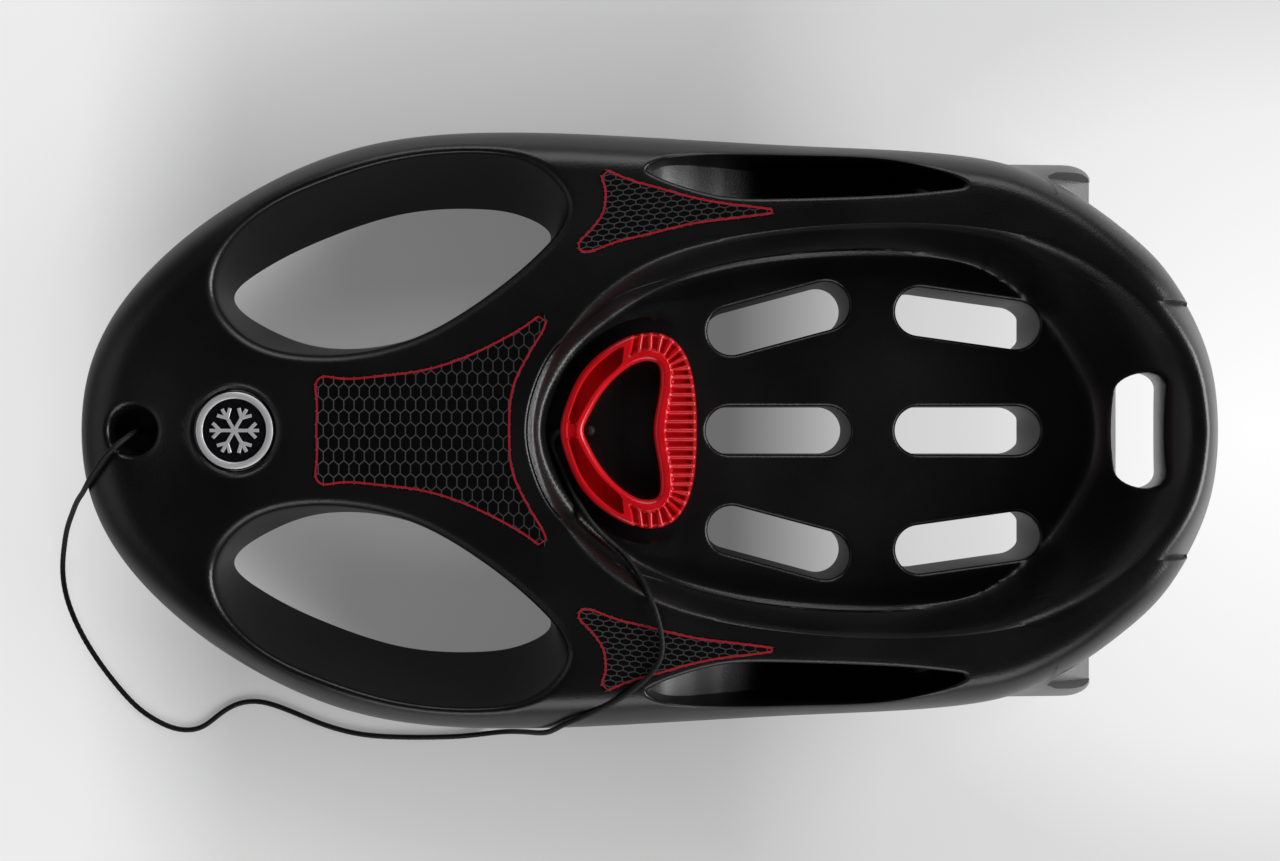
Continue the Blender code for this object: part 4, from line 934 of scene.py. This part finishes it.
def keel_section(x):
    """Points round a keel's section at x: across, height. At the rear its top fairs into the hull's side."""
    rise = BELLY_RISE_AT(min(x, 0))
    low = BELLY_HEIGHT + rise - KEEL_DEPTH * min(1, (x - KEEL_FRONT_X) / KEEL_FADE)
    inner = keel_middle(x) - KEEL_WIDTH / 2
    past_corner = np.clip((x - KEEL_REAR_X + TAIL_CORNER_LENGTH) / TAIL_CORNER_LENGTH, 0, 1)
    outer = keel_middle(x) + KEEL_WIDTH / 2 - TAIL_CORNER_WIDTH * (1 - math.sqrt(1 - past_corner ** 2))
    if x < FAIRING_FRONT_X:
        top = np.interp(x, (TAIL_RISE_X, FAIRING_FRONT_X),
                        (BELLY_HEIGHT + rise + KEEL_ROOT, FAIRING_FOOT + KEEL_EDGE))
        root = np.array([inner + KEEL_SLANT, top])
        slope = 0
        foot = top - KEEL_EDGE
    else:
        fair_x = min(x, FAIRING_REAR_X)
        behind = outline[(outline[:, 1] > 0) & (outline[:, 0] > FAIRING_FRONT_X / 2)]
        behind = behind[np.argsort(behind[:, 0])]
        across = np.interp(fair_x, behind[:, 0], behind[:, 1]) - FAIRING_ROOT
        near = deck(np.array([(fair_x, across), (fair_x, across + MM)]))
        root = np.array([across, near[0] - FAIRING_SINK])
        slope = (near[1] - near[0]) / MM
        foot = FAIRING_FOOT
    knee = min(TAIL_LEAN_HEIGHT, (low + root[1]) / 2)
    points = [(inner, low), (outer, low), (outer, knee)]
    for share in np.linspace(1, 0, FAIRING_POINTS):
        reach = share * (outer - root[0])
        height = root[1] + slope * reach + (foot - root[1] - slope * (outer - root[0])) * share * share
        points.append((root[0] + reach, height))
    points.append((inner + (root[0] - inner) * (knee - low) / (root[1] - low), knee))
    return points


def keel_surface(side):
    """One keel and its tail, a bar along the hull's side with a rounded rear corner."""
    corner_turns = np.linspace(0, math.pi / 2, TAIL_CORNER_STATIONS + 1)[:-1]
    corner_front = KEEL_REAR_X - TAIL_CORNER_LENGTH
    stations = [KEEL_FRONT_X, KEEL_FRONT_X + KEEL_FADE, TAIL_RISE_X, FAIRING_FRONT_X - MM]
    stations += list(np.linspace(FAIRING_FRONT_X, corner_front, FAIRING_STATIONS + 1)[:-1])
    stations += [KEEL_REAR_X - TAIL_CORNER_LENGTH * (1 - math.sin(turn)) for turn in corner_turns]
    stations.append(KEEL_REAR_X - 0.01 * TAIL_CORNER_LENGTH)
    rows = []
    for x in stations:
        lean = TAIL_LEAN * np.clip((x - FAIRING_REAR_X) / (KEEL_REAR_X - FAIRING_REAR_X), 0, 1)
        rows.append([(x - lean * max(0, height - TAIL_LEAN_HEIGHT), side * across, height)
                     for across, height in keel_section(x)])
    vertices, faces = loft(rows)
    size = len(rows[0])
    for first in (0, len(vertices) - size):
        faces.append((first, first + 1, first + 2, first + size - 1))
        faces.append(tuple(range(first + 2, first + size)))
    return vertices, faces


def shelf_surfaces(side):
    """What is cut out of a tail behind its outer lip, down to a shelf that falls towards the rear."""
    outer = keel_middle(KEEL_REAR_X) + KEEL_WIDTH / 2 - TAIL_LIP_WIDTH
    inner = outer - 2 * KEEL_WIDTH
    rear_x = KEEL_REAR_X + MM
    corners = np.array([(TAIL_SHELF_X, inner), (rear_x, inner), (rear_x, outer),
                        (TAIL_SHELF_X + 2 * TAIL_SHELF_CORNER, outer),
                        (TAIL_SHELF_X, outer - TAIL_SHELF_CORNER)]) * (1, side)
    lower = np.column_stack([corners, np.interp(corners[:, 0], (TAIL_SHELF_X, rear_x), TAIL_SHELF_HEIGHTS)])
    upper = np.column_stack([corners, np.full(len(corners), TAIL_SHELF_TOP)])
    return [loft([lower, upper]), (lower, [(4, 3, 2, 1, 0)]), (upper, [(0, 1, 2, 3, 4)])]


def combined(target, tools):
    """The target's mesh after adding or taking away each tool, which is then removed."""
    for tool, operation in tools:
        step = target.modifiers.new(tool.name, "BOOLEAN")
        step.operation = operation
        step.object = tool
        step.solver = "EXACT"
    bpy.context.view_layer.update()
    evaluated = target.evaluated_get(bpy.context.evaluated_depsgraph_get())
    mesh = bpy.data.meshes.new_from_object(evaluated)
    target.modifiers.clear()
    target.data = mesh
    for tool, _operation in tools:
        bpy.data.objects.remove(tool, do_unlink=True)


def make_hull(surface):
    """The moulded skin with its keels and tails."""
    walls = [wall(rim, foot, EYE_WALL_ROWS if lip == EYE_LIP else 1) for rim, foot, lip in HOLES]
    hull = add("hull_skin", [deck_sheet(), belly_sheet(), *walls], surface)
    tools = []
    for side, word in ((1, "right"), (-1, "left")):
        keel = add(f"keel_{word}", [keel_surface(side)])
        combined(keel, [(add(f"shelf_{word}", shelf_surfaces(side)), "DIFFERENCE")])
        tools.append((keel, "UNION"))
    combined(hull, tools)
    stand_for(hull, 38, "sled", "hull")


# Stickers

def make_sticker(name, loop, film, border):
    """A printed sticker that follows the deck, with a red band along its edge."""
    loop = clockwise_off(loop)
    bands = [inset(loop, distance) for distance in (STICKER_MARGIN, STICKER_MARGIN + STICKER_BORDER)]
    inner = lattice(loop, STICKER_GRID)
    inner = inner[inside_distance(inner, bands[1]) > MM]
    points, faces = sheet(loop, [], bands, [], [(inner, MM)], deck)
    edge = lifted(loop, deck)
    rise = np.array((0, 0, STICKER_HEIGHT))
    sides = loft([edge - (0, 0, STICKER_FOOT), edge + rise])
    sticker = add(name, [(points + rise, faces), sides], film, border)
    middles = np.array([tuple(polygon.center) for polygon in sticker.data.polygons])[:, :2]
    within = inside_distance(middles, bands[0]) > 0
    within &= inside_distance(middles, bands[1]) < 0
    for polygon, red in zip(sticker.data.polygons, within):
        polygon.material_index = 1 if red else 0
    stand_for(sticker, 40, "sled", name)


# Badge: its sections as distances from its radius and heights over its seat, and the shares of its star

BADGE_LIFT = 0.3 * MM
BADGE_SEGMENTS = 96
RING_WIDTH = 6.0 * MM
DOME_HEIGHT = 2.4 * MM
DOME_FALL = 0.6 * MM
DOME_START = 4.0 * MM
DOME_EDGE = [(0, 1.7), (1.5, 1.5), (1.9, 1.1), (1.9, 0)]
RING_SECTION = [(-6, 1.6), (-6, 2.6), (-5.5, 3.1), (-0.6, 3.1), (0, 2.5), (0, 1.4)]
STAR_REACH = 22.0 * MM
STAR_HALF_WIDTH = 1.5 * MM
STAR_LEVELS = [(0, 1.6), (0, 2.9), (-0.3, 3.15)]
BRANCH_PLACE = 0.55
BRANCH_REACH = 0.28
BRANCH_WIDTH = 1.4


def snowflake(reach, half):
    """The outline of a plain six-armed star with one pair of branches on each arm."""
    branch = reach * BRANCH_PLACE
    spread_to = branch + reach * BRANCH_REACH
    side = half + reach * BRANCH_REACH
    width = half * BRANCH_WIDTH
    right = [(branch, -half), (spread_to, -side), (spread_to + width, width - side),
             (branch + 2 * width, -half), (reach, -half)]
    left = [(along, -across) for along, across in right[::-1]]
    points = []
    for turn in range(6):
        angle = turn * math.pi / 3
        for along, across in [(half * math.sqrt(3), -half), *right, *left]:
            points.append((along * math.cos(angle) - across * math.sin(angle),
                           along * math.sin(angle) + across * math.cos(angle)))
    return np.array(points)


def badge_section(pairs):
    """Distances from the badge's radius and heights in millimetres, as radii and heights in metres."""
    return [(BADGE_RADIUS + reach * MM, height * MM) for reach, height in pairs]


def make_badge(black, silver):
    """The badge: a low black dome, a flat silver ring with rounded edges and a silver star."""
    floor = CROWN_AT(BADGE_X) - BADGE_SEAT_DEPTH + BADGE_LIFT
    place = (BADGE_X, 0, floor)
    inner = BADGE_RADIUS - RING_WIDTH
    dome = [(0.01 * MM, DOME_HEIGHT)]
    for radius in np.linspace(DOME_START, inner + MM, 8):
        dome.append((radius, DOME_HEIGHT - DOME_FALL * (radius / inner) ** 2))
    dome += badge_section(DOME_EDGE)
    base = add("badge_dome", [turned(dome, BADGE_SEGMENTS, place)], black)
    stand_for(base, 40, "sled", "badge_base")
    ring = add("badge_rim", [turned(badge_section(RING_SECTION), BADGE_SEGMENTS, place)], silver)
    stand_for(ring, 50, "sled", "badge_ring")
    loop = snowflake(STAR_REACH, STAR_HALF_WIDTH) + (BADGE_X, 0)
    levels = []
    for growth, height in STAR_LEVELS:
        levels.append(np.column_stack([grown(loop, growth * MM), np.full(len(loop), floor + height * MM)]))
    star = add("badge_star", [loft(levels), (levels[-1], [tuple(range(len(loop)))])], silver)
    stand_for(star, 30, "sled", "badge_figure")


# Tow handle

ARM_WALL = 6.5 * MM
CHANNEL_DEPTH = 14.0 * MM
CHANNEL_CORNER = 3.5 * MM
CHANNEL_EDGE = 0.7 * MM
CHANNEL_END_X = -14.0 * MM
WEB_HALF_WIDTH = 6.3 * MM
WEB_DEPTH = 3.0 * MM
GRIP_START_X = -4.85 * MM
GRIP_CORNER_X = 15.0 * MM
GRIP_CORNER_Y = 52.0 * MM
GRIP_ROW_STEP = 0.65 * MM
GRIP_BAND = 9.0 * MM
GRIP_FADE = 1.2 * MM
GRIP_TURN_RADIUS = 35.0 * MM
GRIP_FOOT_SHARE = 0.3
SIDE_SHARES = (0.35, 0.6)
BORE_REACH = 30.0 * MM
RIB_PITCH = 8.0 * MM
RIB_TURN = 0.313
RIB_HALF_SHARE = 0.3
RIB_SINK = 1.5 * MM
RIB_DEPTH = 4.4 * MM
RIB_SIDE_SHARE = 0.35
RIB_END = 2.6 * MM
TOP_ROUNDING = 5.0 * MM
BASE_ROUNDING = 2.0 * MM
CORNER_POINTS = 7
CHANNEL_POINTS = 22
OUTLINE_STEP = 0.3 * MM
ARM_STRIDE = 4


def channel_narrowing(from_end):
    """How far each side of a channel draws in at a distance from its end, for round corners."""
    left = np.clip(CHANNEL_CORNER - from_end, 0, CHANNEL_CORNER)
    return CHANNEL_CORNER - math.sqrt(CHANNEL_CORNER ** 2 - left ** 2)


def rib_valley(phase):
    """Depth between round ribs, from 0 on a rib's top, where the phase is whole, to 1 in the valley."""
    from_top = abs((phase + 0.5) % 1 - 0.5) / RIB_HALF_SHARE
    return 1 - math.sqrt(max(0, 1 - from_top ** 2))


def handle_section(inner, outer, narrowing, sunk, phase, grip):
    """Points round the handle's section: over the base, up the outer side, across the top and down inside."""
    width = np.linalg.norm(outer - inner)
    across = (outer - inner) / width
    top = HANDLE_THICKNESS
    turns = np.linspace(0, math.pi / 2, CORNER_POINTS)
    corner = [(1 - math.sin(turn), 1 - math.cos(turn)) for turn in turns]
    points = [(BASE_ROUNDING * near, BASE_ROUNDING * far) for near, far in corner[::-2]]
    points += [(width - BASE_ROUNDING * near, BASE_ROUNDING * far) for near, far in corner[::2]]
    points += [(width, top * share) for share in SIDE_SHARES]
    points += [(width - TOP_ROUNDING * far, top - TOP_ROUNDING * near) for near, far in corner]
    if grip > 0:
        for share in np.linspace(0, 1, CHANNEL_POINTS + 6)[1:-1]:
            points.append((width - TOP_ROUNDING - (width - 2 * TOP_ROUNDING) * share, top))
    else:
        wall = ARM_WALL + narrowing
        points += [(width - wall + CHANNEL_EDGE, top), (width - wall, top - min(sunk, CHANNEL_EDGE))]
        for share in np.linspace(0, 1, CHANNEL_POINTS):
            reach = width - wall - CHANNEL_EDGE - (width - 2 * wall - 2 * CHANNEL_EDGE) * share
            points.append((reach, top - sunk))
        points += [(wall, top - min(sunk, CHANNEL_EDGE)), (wall - CHANNEL_EDGE, top)]
    points += [(TOP_ROUNDING * far, top - TOP_ROUNDING * near) for near, far in corner[::-1]]
    points += [(0, top * share) for share in SIDE_SHARES[::-1]]
    section = []
    for reach, height in points:
        ribbed = ease((reach - GRIP_BAND) / RIB_END)
        upper = ease((height - GRIP_FOOT_SHARE * top) / (GRIP_FOOT_SHARE * top)) * grip
        valley = (RIB_SINK + RIB_DEPTH * rib_valley(phase)) * ribbed * upper
        over_edge = np.clip((reach - width + TOP_ROUNDING) / TOP_ROUNDING, 0, 1)
        height -= valley * (1 - over_edge)
        reach -= valley * over_edge * RIB_SIDE_SHARE
        place = inner + across * reach
        section.append((place[0], place[1], HANDLE_BASE + height))
    return section


def resampled(curve, count):
    """Points evenly spaced along an open curve, from its first to its last."""
    travelled = np.concatenate([[0], np.cumsum(np.linalg.norm(np.diff(curve, axis=0), axis=1))])
    places = np.linspace(0, travelled[-1], count)
    return np.column_stack([np.interp(places, travelled, axis) for axis in curve.T])


def handle_rows():
    """The rows across the handle's right half, from the grip's middle to the eye.

    Each is its inner and outer end, its place along the grip in ribs, and its share of the grip's form.
    """
    counts = span_counts(whole(HANDLE_OUTER), OUTLINE_STEP)
    outer, inner = [closed_curve(whole(half), counts) for half in (HANDLE_OUTER, HANDLE_INNER)]
    first = int(np.argmax(outer[:, 0]))
    outer = outer[first:]
    inner = inner[first:]
    last = int(np.argmax(outer[:, 0] < GRIP_START_X))
    rows = []
    for y in np.arange(0, GRIP_CORNER_Y, GRIP_ROW_STEP):
        ends = []
        for curve in (inner, outer):
            rising = curve[:int(np.argmax(curve[:, 1]))]
            ends.append(np.array([np.interp(y, rising[:, 1], rising[:, 0]), y]))
        rows.append((*ends, y / RIB_PITCH, 1))
    turned_past = GRIP_CORNER_Y / RIB_PITCH
    corner = np.array([GRIP_CORNER_X, GRIP_CORNER_Y])
    angles = [np.unwrap(np.arctan2(*(curve - corner).T[::-1])) for curve in (inner, outer)]
    for angle in np.arange(0, math.pi / 2, GRIP_ROW_STEP / GRIP_TURN_RADIUS):
        ends = []
        for curve, turn in zip((inner, outer), angles):
            ends.append(np.array([np.interp(angle, turn[:last], axis) for axis in curve[:last].T]))
        rows.append((*ends, turned_past + angle / RIB_TURN, 1))
    turned_past += math.pi / 2 / RIB_TURN
    starts = [int(np.argmax(turn > math.pi / 2)) for turn in angles]
    count = math.ceil((last - starts[1]) * OUTLINE_STEP / GRIP_ROW_STEP)
    inner_ends = resampled(inner[starts[0]:last + 1], count)
    outer_ends = resampled(outer[starts[1]:last + 1], count)
    for inner_end, outer_end in zip(inner_ends, outer_ends):
        grip = ease((outer_end[0] - GRIP_START_X) / GRIP_FADE)
        rows.append((inner_end, outer_end, turned_past + (GRIP_CORNER_X - outer_end[0]) / RIB_PITCH, grip))
    arm = [*range(last + ARM_STRIDE, len(outer) - 1, ARM_STRIDE), len(outer) - 1]
    rows += [(inner[i], outer[i], 0, 0) for i in arm]
    return rows


def make_handle(surface):
    """The red handle: two arms with channels that meet at the rope's eye, and a ribbed grip."""
    half = handle_rows()
    other = [(inner * (1, -1), outer * (1, -1), phase, grip) for inner, outer, phase, grip in half[-2:0:-1]]
    rows = []
    for inner, outer, phase, grip in [*half, *other]:
        x, y = (inner + outer) / 2
        from_end = min(CHANNEL_END_X - x, abs(y) - WEB_HALF_WIDTH)
        narrowing = 0
        sunk = 0
        if from_end > 0:
            narrowing = channel_narrowing(from_end)
            sunk = CHANNEL_DEPTH
        elif abs(y) <= WEB_HALF_WIDTH and grip == 0:
            sunk = WEB_DEPTH
        rows.append(handle_section(inner, outer, narrowing, sunk, phase, grip))
    handle = add("handle_grip", [loft([*rows, rows[0]])], surface)
    bore = [(0.01 * MM, -BORE_REACH), (ROPE_HOLE_RADIUS, -BORE_REACH), (ROPE_HOLE_RADIUS, BORE_REACH),
            (0.01 * MM, BORE_REACH)]
    tool = add("rope_eye", [turned(bore, 32, (0, 0, 0))])
    tool.rotation_euler = (0, math.pi / 2, 0)
    apex = (HANDLE_OUTER[0][0] + HANDLE_INNER[0][0]) / 2 * MM
    tool.location = (apex, 0, HANDLE_BASE + ROPE_HOLE_HEIGHT)
    combined(handle, [(tool, "DIFFERENCE")])
    stand_for(handle, 42, "handle", "tow_handle")


# Rope

ROPE_SIDES = 20
ROPE_ROW_STEP = 1.2 * MM
STRANDS = 4
BRAID_RELIEF = 0.14 * MM
BRAID_PITCH = 6.0 * MM
KNOTS = ("rope_nose_knot", "rope_handle_knot")


def make_rope(surface):
    """The braided tow rope, from under the nose to the inside of the handle."""
    path = open_curve(ROPE_ROUTE, ROPE_ROW_STEP)
    ahead = np.gradient(path, axis=0)
    ahead /= np.linalg.norm(ahead, axis=1)[:, None]
    side = np.array([1.0, 0, 0])
    turns = 2 * math.pi * np.arange(ROPE_SIDES) / ROPE_SIDES
    travelled = np.concatenate([[0], np.cumsum(np.linalg.norm(np.diff(path, axis=0), axis=1))])
    rows = []
    for place, direction, distance in zip(path, ahead, travelled):
        side = side - direction * np.dot(side, direction)
        side /= np.linalg.norm(side)
        other = np.cross(direction, side)
        twist = 2 * math.pi * distance / BRAID_PITCH
        relief = np.maximum(np.cos(STRANDS * turns + twist), np.cos(STRANDS * turns - twist))
        radii = ROPE_RADIUS - BRAID_RELIEF * (1 - relief)
        rows.append(place + np.outer(radii * np.cos(turns), side) + np.outer(radii * np.sin(turns), other))
    ring = tuple(range(ROPE_SIDES))
    rope = add("tow_cord", [loft(rows), (rows[0], [ring[::-1]]), (rows[-1], [ring])], surface)
    smooth(rope, 60)
    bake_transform(rope)
    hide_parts("tow_rope")


# Studio

CAMERA_HEIGHT = 1.68
CAMERA_X = 0.0017
FOCAL_PIXELS = 1740
IMAGE_WIDTH = 1280
SENSOR_WIDTH = 36.0
BACKGROUND = (0.86, 0.86, 0.86, 1.0)

# The floor's painted light: its span along X, and the painted glow round a place near the tail
FLOOR_REACH = 6.0
FLOOR_START_X = -0.75
FLOOR_SPAN = 1.5
GLOW_X = 0.6
GLOW_SQUASH = 0.8
GLOW_REACH = 1.6
# Share of the floor's painted glow that reflections see
MIRRORED_PAINTED_LIGHT_SHARE = 0.4
# Painted light and shade on the floor by distance from the tail's glow: a painted pool of light round the
# tail and painted shade in a ring round the sled
FLOOR_PAINTED_LIGHT = [(0.0, (0.98,)), (0.19, (0.86,)), (0.27, (0.72,)), (0.38, (0.70,)), (0.5, (0.81,)),
               (0.66, (1.0,)), (0.8, (0.95,))]
# How much painted glow stands in for the floor's lit colour along X: little under the sled's front, so its
# shadow shows, and much at its rear, painting light over the shade under the rear slots
PAINTED_LIGHT_SHARES = [(0.0, (0.75,)), (0.14, (0.6,)), (0.24, (0.22,)), (0.56, (0.2,)), (0.66, (0.75,)),
                (0.9, (0.85,))]
SKY = [(0.0, (0.3,)), (0.15, (0.14,)), (0.4, (0.01,)), (1.0, (0.003,))]

# Each lamp's place, width, height and power
AIM = (0, 0, 0.1)
SOFTBOXES = {
    "box_right": ((0, 2.1, 1.35), 2.2, 1.2, 24),
    "box_left": ((0, -2.1, 1.35), 2.2, 1.2, 24),
    "box_front": ((-2.1, 0, 1.2), 1.6, 1.0, 3),
    "box_rear": ((2.1, 0, 0.9), 2.0, 1.0, 60),
}


def floor_with_painted_light():
    """Pale floor with painted light: brightest on the tail's side, with painted shade near the sled, and
    partly a painted glow where it is seen or mirrored.
    """
    made, tree, shader = new_material("floor_painted_light", 0.9)
    shader.inputs["Specular IOR Level"].default_value = 0.1
    calc = calculator(tree)
    x, y, _z = axes(tree, place_of(tree))
    across = calc("MULTIPLY", calc("ADD", x, -FLOOR_START_X), 1 / FLOOR_SPAN)
    from_tail = calc("SUBTRACT", x, GLOW_X)
    from_tail = calc("MULTIPLY", calc("MULTIPLY", from_tail, from_tail), GLOW_SQUASH)
    from_tail = calc("ADD", from_tail, calc("MULTIPLY", y, y))
    from_tail = calc("MULTIPLY", calc("SQRT", from_tail), 1 / GLOW_REACH)
    # The painted light and shade go into the floor's colour as well as into its glow
    painted_light = ramp(tree, from_tail, FLOOR_PAINTED_LIGHT)
    tree.links.new(painted_light, shader.inputs["Base Color"])
    glow = tree.nodes.new("ShaderNodeEmission")
    tree.links.new(painted_light, glow.inputs["Color"])
    mix = tree.nodes.new("ShaderNodeMixShader")
    rays = tree.nodes.new("ShaderNodeLightPath")
    seen = calc("ADD", rays.outputs["Is Camera Ray"],
                calc("MULTIPLY", rays.outputs["Is Glossy Ray"], MIRRORED_PAINTED_LIGHT_SHARE))
    tree.links.new(calc("MULTIPLY", seen, ramp(tree, across, PAINTED_LIGHT_SHARES)), mix.inputs["Fac"])
    tree.links.new(shader.outputs["BSDF"], mix.inputs[1])
    tree.links.new(glow.outputs["Emission"], mix.inputs[2])
    tree.links.new(mix.outputs["Shader"], tree.nodes["Material Output"].inputs["Surface"])
    return made


def make_floor():
    """The floor that the sled stands on."""
    corners = np.array([(-1, -1, 0), (1, -1, 0), (1, 1, 0), (-1, 1, 0)]) * FLOOR_REACH
    floor = add("studio_floor", [(corners, [(0, 1, 2, 3)])], floor_with_painted_light())


def make_world():
    """A studio that is pale near the horizon and dark overhead."""
    world = bpy.data.worlds.new("studio")
    bpy.context.scene.world = world
    world.use_nodes = True
    tree = world.node_tree
    coordinates = tree.nodes.new("ShaderNodeTexCoord")
    _x, _y, z = axes(tree, coordinates.outputs["Generated"])
    rays = tree.nodes.new("ShaderNodeLightPath")
    plain = mixed(tree, rays.outputs["Is Camera Ray"], ramp(tree, z, SKY))
    plain.inputs["B"].default_value = BACKGROUND
    tree.links.new(plain.outputs["Result"], tree.nodes["Background"].inputs["Color"])


def softbox(name, place, width, height, power):
    """A rectangular lamp that faces the sled."""
    lamp = bpy.data.lights.new(name, "AREA")
    lamp.shape = "RECTANGLE"
    lamp.size = width
    lamp.size_y = height
    lamp.energy = power
    made = bpy.data.objects.new(name, lamp)
    made.location = place
    made.rotation_euler = (Vector(AIM) - Vector(place)).to_track_quat("-Z", "Y").to_euler()
    bpy.context.scene.collection.objects.link(made)


def make_camera():
    """The camera straight above the sled."""
    data = bpy.data.cameras.new("studio_camera")
    data.sensor_width = SENSOR_WIDTH
    data.lens = SENSOR_WIDTH * FOCAL_PIXELS / IMAGE_WIDTH
    camera = bpy.data.objects.new("studio_camera", data)
    camera.location = (CAMERA_X, 0, CAMERA_HEIGHT)
    bpy.context.scene.collection.objects.link(camera)
    bpy.context.scene.camera = camera


bpy.context.scene.view_settings.view_transform = "Standard"
make_camera()
cord_black = braided_cord()
make_rope(cord_black)
hull_black = black_plastic()
make_hull(hull_black)

# Satin silver plating and glossy black lacquer of the badge
badge_silver = speckled("plated_silver", 0.35, [(0.66, 0.66, 0.67), (0.76, 0.76, 0.77)], 1500,
                        (3000, 0.15, 0.05 * MM), metallic=0.4, detail=2)
dome_black = speckled("badge_black", 0.18, [(0.004, 0.004, 0.005), (0.007, 0.007, 0.008)], 200)
make_badge(dome_black, badge_silver)

# Half-gloss red of the moulded handle and of the stickers' printed edge
handle_red = speckled("moulded_red", 0.25, [(0.56, 0.004, 0.009), (0.66, 0.007, 0.013)], 60,
                      (900, 0.12, 0.15 * MM))
make_handle(handle_red)
border_red = speckled("printed_red", 0.32, [(0.33, 0.012, 0.022), (0.41, 0.018, 0.03)], 120)
front_loop = even_curve(whole(FRONT_STICKER), STICKER_STEP)
front_film = sticker_print("front_print", FRONT_CELLS, 0, FRONT_LINES_AND_SHEEN)
make_sticker("front_sticker", front_loop, front_film, border_red)
side_loop = even_curve(SIDE_STICKER, STICKER_STEP)
for word, loop, turn in (("right", side_loop, -SIDE_TURN), ("left", mirrored(side_loop), SIDE_TURN)):
    film = sticker_print(f"{word}_print", SIDE_CELLS, turn, SIDE_LINES_AND_SHEEN)
    make_sticker(f"side_sticker_{word}", loop, film, border_red)

brushed = drawn_steel()
for name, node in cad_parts.items():
    if name.startswith("runner"):
        node.material_slots[0].material = brushed
for name in KNOTS:
    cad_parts[name].material_slots[0].material = cord_black

make_floor()
make_world()
for name, (place, width, height, power) in SOFTBOXES.items():
    softbox(name, place, width, height, power)
